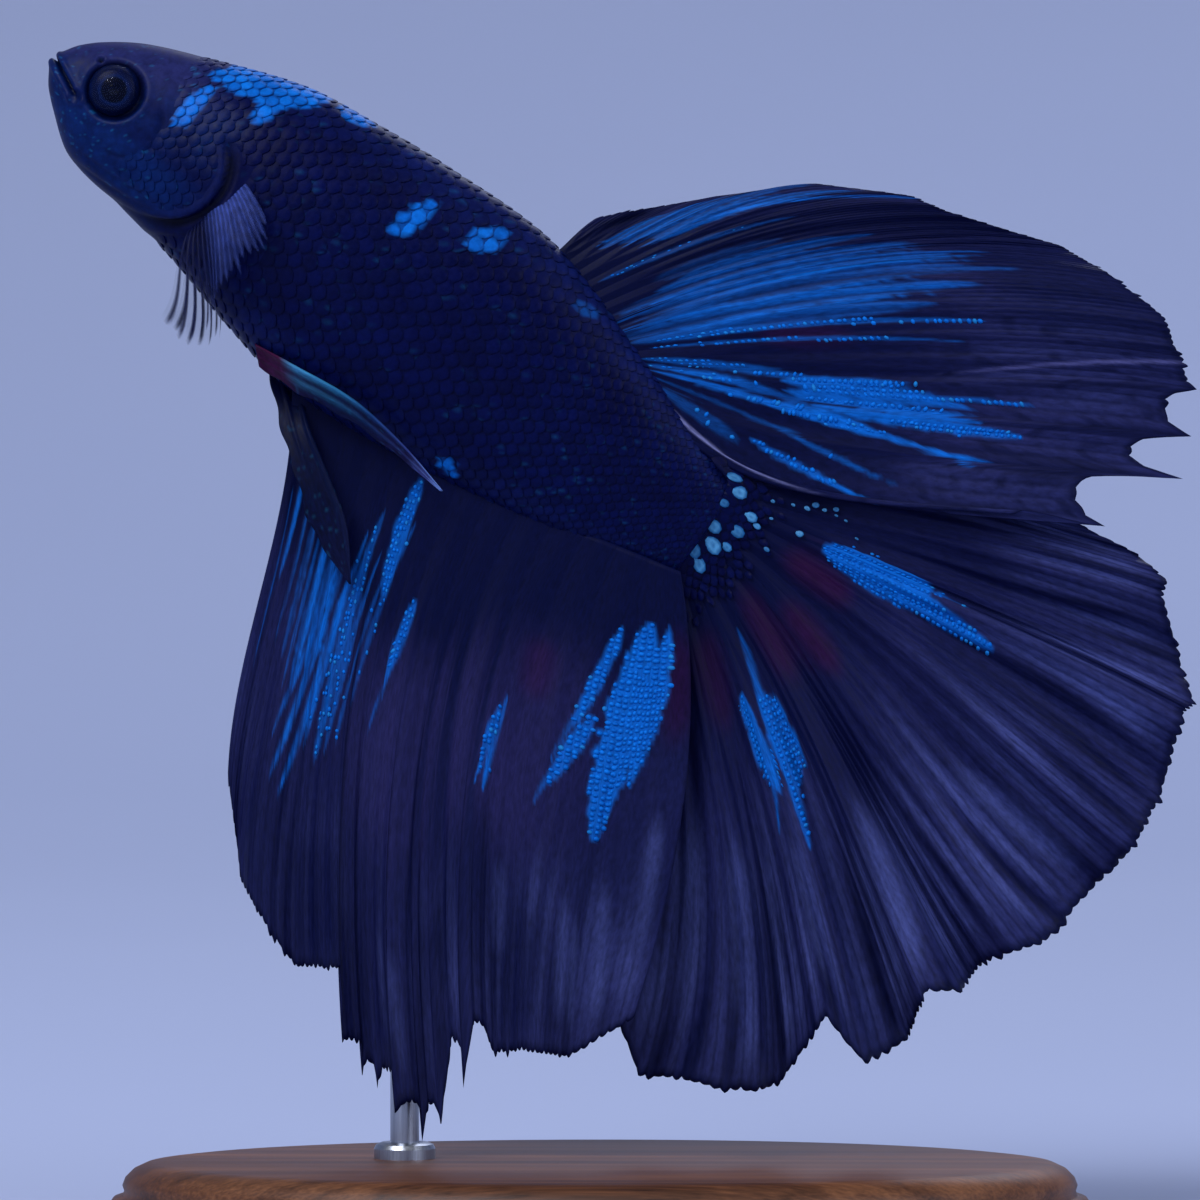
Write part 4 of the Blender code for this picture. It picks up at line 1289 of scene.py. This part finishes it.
ANAL_MARKS = (
    (0.028, 0.24, 0.028, 0.7, 0.18, 0.45, 0.0), (0.058, 0.17, 0.04, 0.44, 0.45, 0.85, 0.0),
    (0.09, 0.16, 0.072, 0.52, 0.3, 0.6, 0.0), (0.122, 0.19, 0.106, 0.52, 0.5, 0.85, 0.0),
    (0.15, 0.2, 0.128, 0.56, 0.3, 0.65, 0.0), (0.175, 0.2, 0.15, 0.54, 0.65, 1.0, 0.0),
    (0.205, 0.2, 0.18, 0.48, 0.7, 1.0, 0.0), (0.225, 0.24, 0.125, 0.66, 0.35, 0.85, 0.0),
    (0.242, 0.22, 0.138, 0.73, 0.5, 1.0, 0.0), (0.27, 0.24, 0.16, 0.74, 0.5, 1.0, 0.0),
    (0.285, 0.18, 0.205, 0.6, 0.35, 0.8, 0.2), (0.315, 0.13, 0.238, 0.62, 0.6, 0.75, 0.6),
    (0.34, 0.18, 0.262, 0.6, 0.35, 0.6, 0.7), (0.362, 0.22, 0.29, 0.58, 0.3, 0.5, 0.6),
    (0.378, 0.035, 0.376, 0.25, 0.85, 1.0, 0.7), (0.405, 0.1, 0.335, 0.46, 0.3, 0.45, 0.7),
    (0.462, 0.22, 0.43, 0.36, 0.55, 0.85, 1.0), (0.45, 0.3, 0.405, 0.46, 0.22, 0.6, 0.2),
    (0.738, 0.35, 0.718, 0.55, 0.42, 0.95, 0.2), (0.728, 0.38, 0.697, 0.53, 0.5, 0.9, 1.0),
    (0.902, 0.15, 0.862, 0.36, 0.8, 0.95, 1.0), (0.88, 0.26, 0.838, 0.44, 0.3, 0.8, 0.2),
    (0.887, 0.33, 0.842, 0.48, 0.9, 0.95, 1.0), (0.862, 0.4, 0.82, 0.53, 0.35, 0.75, 0.2),
    (0.945, 0.12, 0.915, 0.57, 2.2, 1.0, 1.0), (0.972, 0.13, 0.945, 0.46, 1.1, 1.0, 1.0),
)
ANAL_STAINS = (
    (0.5, 0.22, 0.46, 0.7, 8.0, 0.6, (38, 36, 78)),
    (0.8, 0.14, 0.74, 0.72, 9.0, 0.7, (40, 36, 80)),
    (0.775, 0.2, 0.79, 0.35, 1.7, 0.6, (46, 8, 50)), (0.985, 0.1, 0.985, 0.42, 1.8, 0.4, WINE),
    (0.7, 0.5, 0.73, 0.98, 3.0, 0.8, NAVY), (0.8, 0.66, 0.82, 1.02, 4.2, 0.85, NAVY),
    (0.6, 0.66, 0.63, 0.92, 3.0, 0.85, NAVY), (0.28, 0.72, 0.3, 1.02, 7.0, 0.8, NAVY),
    (0.12, 0.72, 0.12, 1.02, 5.0, 0.6, NAVY), (0.55, 0.55, 0.56, 0.8, 1.6, 0.5, NAVY),
    (0.935, 0.62, 0.955, 0.98, 0.9, 0.75, SATIN), (0.975, 0.5, 0.985, 0.86, 0.9, 0.85, SATIN),
    (0.885, 0.66, 0.9, 0.96, 0.6, 0.6, SATIN), (0.905, 0.7, 0.925, 0.98, 0.4, 0.6, SATIN),
    (0.765, 0.62, 0.775, 0.84, 0.8, 0.4, SATIN), (0.5, 0.72, 0.52, 0.98, 0.6, 0.4, SATIN),
    (0.455, 0.74, 0.47, 0.98, 0.4, 0.4, SATIN),
)
ANAL_DUSK = ((0.0, 0.2), (0.5, 0.35), (0.8, 0.8), (0.9, 1.0), (1.0, 1.0))


def anal_depth(across, along):
    """How far the anal fin lies to the right, with its waves."""
    return broad_waves(across, along, 0.7, 11, 1.5) - 0.9 * across ** 2


anal = {
    "root": rooted(ANAL_BASE, 1, -FIN_SINK), "rows": ANAL_RAYS, "depth": anal_depth,
    "rays": 104, "steps": 92, "bays": (0.30, 0.36, 0.72, 0.76), "fringe": 0.40, "notch": 0.16,
    "pleat": 0.09, "folds": 29, "root_thick": 0.5, "edge_thick": 0.13, "ray_height": 0.055,
    "swell": 0.1, "seed": 41, "inner": (0.24, 0.50), "fade": (0.50, 0.92), "pale": 0.50,
    "lines": 0.55, "stains": ANAL_STAINS, "marks": ANAL_MARKS, "dusk": ANAL_DUSK,
}
make_fin("anal", anal, 28)

# ------------------------------------------------------------
# Pelvic fins: two long narrow blades under the belly. Each has a stout leading ray and a finer
# second one, with a strip of membrane behind them; the left one is wine-red at its root, cyan
# along its leading ray and white at its tip.

# The leading and the trailing edge of each, from the root to the tip, as x, y, z.
PELVIC_LEFT = (
    (
        (18.4, -1.6, -6.3), (20.8, -3.1, -6.0), (24.6, -3.3, -5.6),
        (28.2, -3.1, -6.0), (31.5, -3.0, -6.8),
    ),
    (
        (19.3, -1.2, -7.2), (21.9, -2.7, -7.1), (25.0, -3.1, -6.7),
        (28.2, -3.1, -6.7), (31.4, -3.0, -6.9),
    ),
)
PELVIC_RIGHT = (
    (
        (21.7, 0.9, -6.7), (23.4, -1.0, -8.2), (25.6, -1.5, -9.6),
        (28.3, -1.8, -11.4), (30.4, -1.9, -13.9),
    ),
    (
        (19.9, 0.6, -7.2), (22.2, -0.8, -9.2), (24.6, -1.4, -11.0),
        (27.1, -1.7, -12.8), (30.3, -1.9, -13.95),
    ),
)
PELVIC_RAYS = ((0.10, 0.16), (0.58, 0.07))
# Along each blade: the tone of its rays, and of the membrane.
PELVIC_LEFT_TINTS = (
    (0.0, (52, 8, 44), (44, 8, 42)), (0.17, (56, 9, 46), (40, 8, 42)),
    (0.26, (58, 128, 166), (14, 10, 44)), (0.42, (40, 108, 146), (3, 9, 42)),
    (0.58, (24, 60, 108), (3, 9, 42)), (0.8, (48, 60, 118), (14, 12, 48)),
    (0.92, (104, 132, 190), (50, 56, 108)), (1.0, (134, 166, 220), (110, 138, 196)),
)
PELVIC_RIGHT_TINTS = (
    (0.0, (3, 8, 42), (2, 7, 38)), (0.3, (3, 12, 44), (0, 5, 36)), (0.6, (5, 14, 44), (0, 5, 36)),
    (1.0, (12, 18, 52), (5, 9, 42)),
)
PELVIC_SPECKS = (20, 90, 112)


def pelvic_blade(side_name, edges, tints, seed):
    """One blade between its two edges, with raised rays along it."""
    shape = sheet(24, 72)
    ray_map = shape.loops.layers.uv.new("rays")
    for face in shape.faces:
        for loop in face.loops:
            loop[ray_map].uv = (loop.vert.co.x + 0.5, loop.vert.co.y + 0.5)
    grid = points_of(shape)
    across, along = grid[:, 0] + 0.5, grid[:, 1] + 0.5
    leading, trailing = (
        smooth_rows([(i / (len(edge) - 1), *point) for i, point in enumerate(edge)], along)
        for edge in edges
    )
    raised, lit = np.zeros(across.shape), np.zeros(across.shape)
    for place, height in PELVIC_RAYS:
        raised = np.maximum(raised, height * ridge(across - place, 0.075))
        broad = 0.09 + 0.12 * (1 - along) ** 2
        lit = np.maximum(lit, ridge(across - place, broad) * (height / 0.16) ** 1.5)
    cut = 1.0 + 0.05 * np.sin(31 * along) * ease(across, 0.5, 1.0) * ease(along, 0.95, 0.8)
    place = leading + (trailing - leading) * (across * cut)[:, None]
    half = 0.07 + raised * (1.0 - 0.6 * along) + 0.25 * np.exp(-along / 0.05)
    place[:, 1] += np.where(grid[:, 2] > 0.5, half, -half) + 0.12 * np.sin(along * 9) * across
    faced_out(move_points(shape, place))
    tones = banded(along, tints)
    cloud = lattice(across * 11, along * 60, seed)
    colour = mixed(tones[:, 3:] * (0.6 + 0.8 * cloud)[:, None], tones[:, :3], lit)
    specks = ease(cloud, 0.78, 0.95) * ease(along, 0.1, 0.3) * 0.22
    tint = clamped(painted(colour, (PELVIC_SPECKS, specks * (1 - lit))))
    finish = fin_finish(f"pelvic blade {side_name} membrane", 6, 12)
    name, nodes = "pelvic_blade_" + side_name, ["pelvic_fin_" + side_name]
    set_piece(name, shape, finish, nodes, fish_pose, tint=tint)


pelvic_blade("left", PELVIC_LEFT, PELVIC_LEFT_TINTS, 51)
pelvic_blade("right", PELVIC_RIGHT, PELVIC_RIGHT_TINTS, 52)

# ------------------------------------------------------------
# Pectoral fins: a small fan behind each gill cover, of fine rays on a clear membrane. The near
# one is a pale lilac veil over the dark flank, and its lower rays reach down past the throat.

PECTORAL_BASE = ((12.9, 0.5), (11.9, -3.5))
PECTORAL_ROWS = (
    (0.0, 15.3, -0.5, -15, -25), (0.2, 15.5, -2.0, -25, -30), (0.4, 15.3, -3.7, -35, -40),
    (0.58, 15.3, -5.3, -45, -52), (0.72, 16.0, -6.9, -50, -58), (0.82, 16.0, -8.0, -60, -66),
    (0.92, 15.0, -8.5, -70, -78), (1.0, 13.5, -8.2, -84, -96),
)
LILAC = (56, 72, 138)
LILAC_DARK = (8, 14, 50)


def pectoral_root(across):
    """Where a pectoral fin leaves the flank."""
    (upper_x, upper_z), (lower_x, lower_z) = PECTORAL_BASE
    return upper_x + (lower_x - upper_x) * across, upper_z + (lower_z - upper_z) * across


def pectoral_fan(side_name, side):
    """One pectoral fin, held a little off the flank."""

    def depth(across, along):
        x, z = pectoral_root(across)
        flank = girth(x)[2] * np.sqrt(clamped(1 - (z / 8.0) ** 2))
        return side * (flank - 0.45 + 1.8 * along ** 0.6 - 0.5 * across * along)

    fan = {
        "root": pectoral_root, "rows": PECTORAL_ROWS, "depth": depth, "rays": 18, "steps": 44,
        "branchings": ((1, -1.0, 2.0),), "fringe": 0.9, "notch": 0.5, "pleat": 0.08, "folds": 5,
        "root_thick": 0.12, "edge_thick": 0.03, "ray_height": 0.03, "swell": 0.02, "seed": 61,
    }
    shape, ray, across, along, height = fin_sheet(fan)
    cloud = lattice(ray * 1.2, along * 9, 62)
    upper = ease(across, 0.80, 0.45)
    veil = upper * (0.65 + 0.35 * height) * (0.7 + 0.5 * cloud) * (1.0 - 0.55 * along)
    colour = mixed(dye(LILAC_DARK), dye(LILAC), veil)
    on_ray = ease(height, 0.74, 0.99)
    solid = 0.62 * upper * (1.0 - 0.75 * along) + 0.05 + (0.75 - 0.45 * upper) * on_ray
    solid = solid * ease(along, 1.02, 0.90) + 0.15 * np.exp(-along / 0.08)
    tint = np.concatenate([colour, clamped(solid)[:, None]], 1)
    finish = fin_finish("pectoral membrane " + side_name, 14, 6)
    feed_shader(finish, Alpha=finish.node_tree.nodes["Attribute"].outputs["Alpha"])
    name, nodes = "pectoral_fan_" + side_name, ["pectoral_fin_" + side_name]
    set_piece(name, shape, finish, nodes, fish_pose, tint=tint)


for side_name, side in SIDES.items():
    pectoral_fan(side_name, side)

# ------------------------------------------------------------
# Studio: a plain pale floor that curves up all round, lit softly from above and in front,
# with the camera level and looking at the fish's left side.

FLOOR = ((0.2, (174, 184, 213)), (0.8, (178, 188, 216)))
FLOOR_RADIUS = 0.6
SWEEP_RADIUS = 1.4
FLOOR_GAP = 0.00002
LAMPS = (
    ("key", (-0.55, -0.80, 0.95), 0.7, 16.0, (236, 240, 255)),
    ("fill", (0.95, -0.75, 0.50), 0.9, 6.5, (226, 233, 255)),
    ("back", (0.35, 0.95, 0.90), 0.7, 4.0, (222, 230, 255)),
)
WORLD_TONE = (222, 226, 234)
CAMERA_DISTANCE = 0.40
VIEW_HEIGHT = 0.034865
VIEW_WIDTH = 0.066

sweep_profile = [(0.0, 0.0)]
for turn in range(19):
    angle = math.radians(5 * turn)
    reach = FLOOR_RADIUS + SWEEP_RADIUS * math.sin(angle)
    sweep_profile.append((reach, SWEEP_RADIUS * (1 - math.cos(angle))))
sweep = turned(sweep_profile, 96)
bmesh.ops.reverse_faces(sweep, faces=sweep.faces[:])
bmesh.ops.translate(sweep, vec=(0, 0, base_low.z * MM - FLOOR_GAP), verts=sweep.verts[:])
floor_mesh = to_mesh("studio_floor", sweep)
floor_mesh.shade_smooth()
floor_mesh.materials.append(clouded("studio floor", 0.9, 0.0, 3, 2.0, FLOOR))
add_object("studio_floor", floor_mesh)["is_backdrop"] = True

for name, place, size, power, tone in LAMPS:
    lamp = bpy.data.lights.new(name, "AREA")
    lamp.size = size
    lamp.energy = power
    lamp.color = dye(tone)
    holder = add_object(name, lamp)
    holder.location = place
    aim = Vector((0.0, 0.0, VIEW_HEIGHT)) - Vector(place)
    holder.rotation_euler = aim.to_track_quat("-Z", "Y").to_euler()

world = bpy.data.worlds.new("studio")
world.use_nodes = True
feed(world.node_tree.nodes["Background"], {"Color": (*dye(WORLD_TONE), 1.0), "Strength": 0.35})
bpy.context.scene.world = world
bpy.context.scene.view_settings.view_transform = "Standard"

camera = bpy.data.cameras.new("camera")
camera.lens = camera.sensor_width * CAMERA_DISTANCE / VIEW_WIDTH
camera.clip_start = 0.01
camera_holder = add_object("camera", camera)
camera_holder.location = (0.0, -CAMERA_DISTANCE, VIEW_HEIGHT)
camera_holder.rotation_euler = (math.radians(90), 0.0, 0.0)
bpy.context.scene.camera = camera_holder

boxes = [[list(corner) for corner in box] for box in (cad_box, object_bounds())]
"\n".join(json.dumps(box) for box in boxes) + "\n"
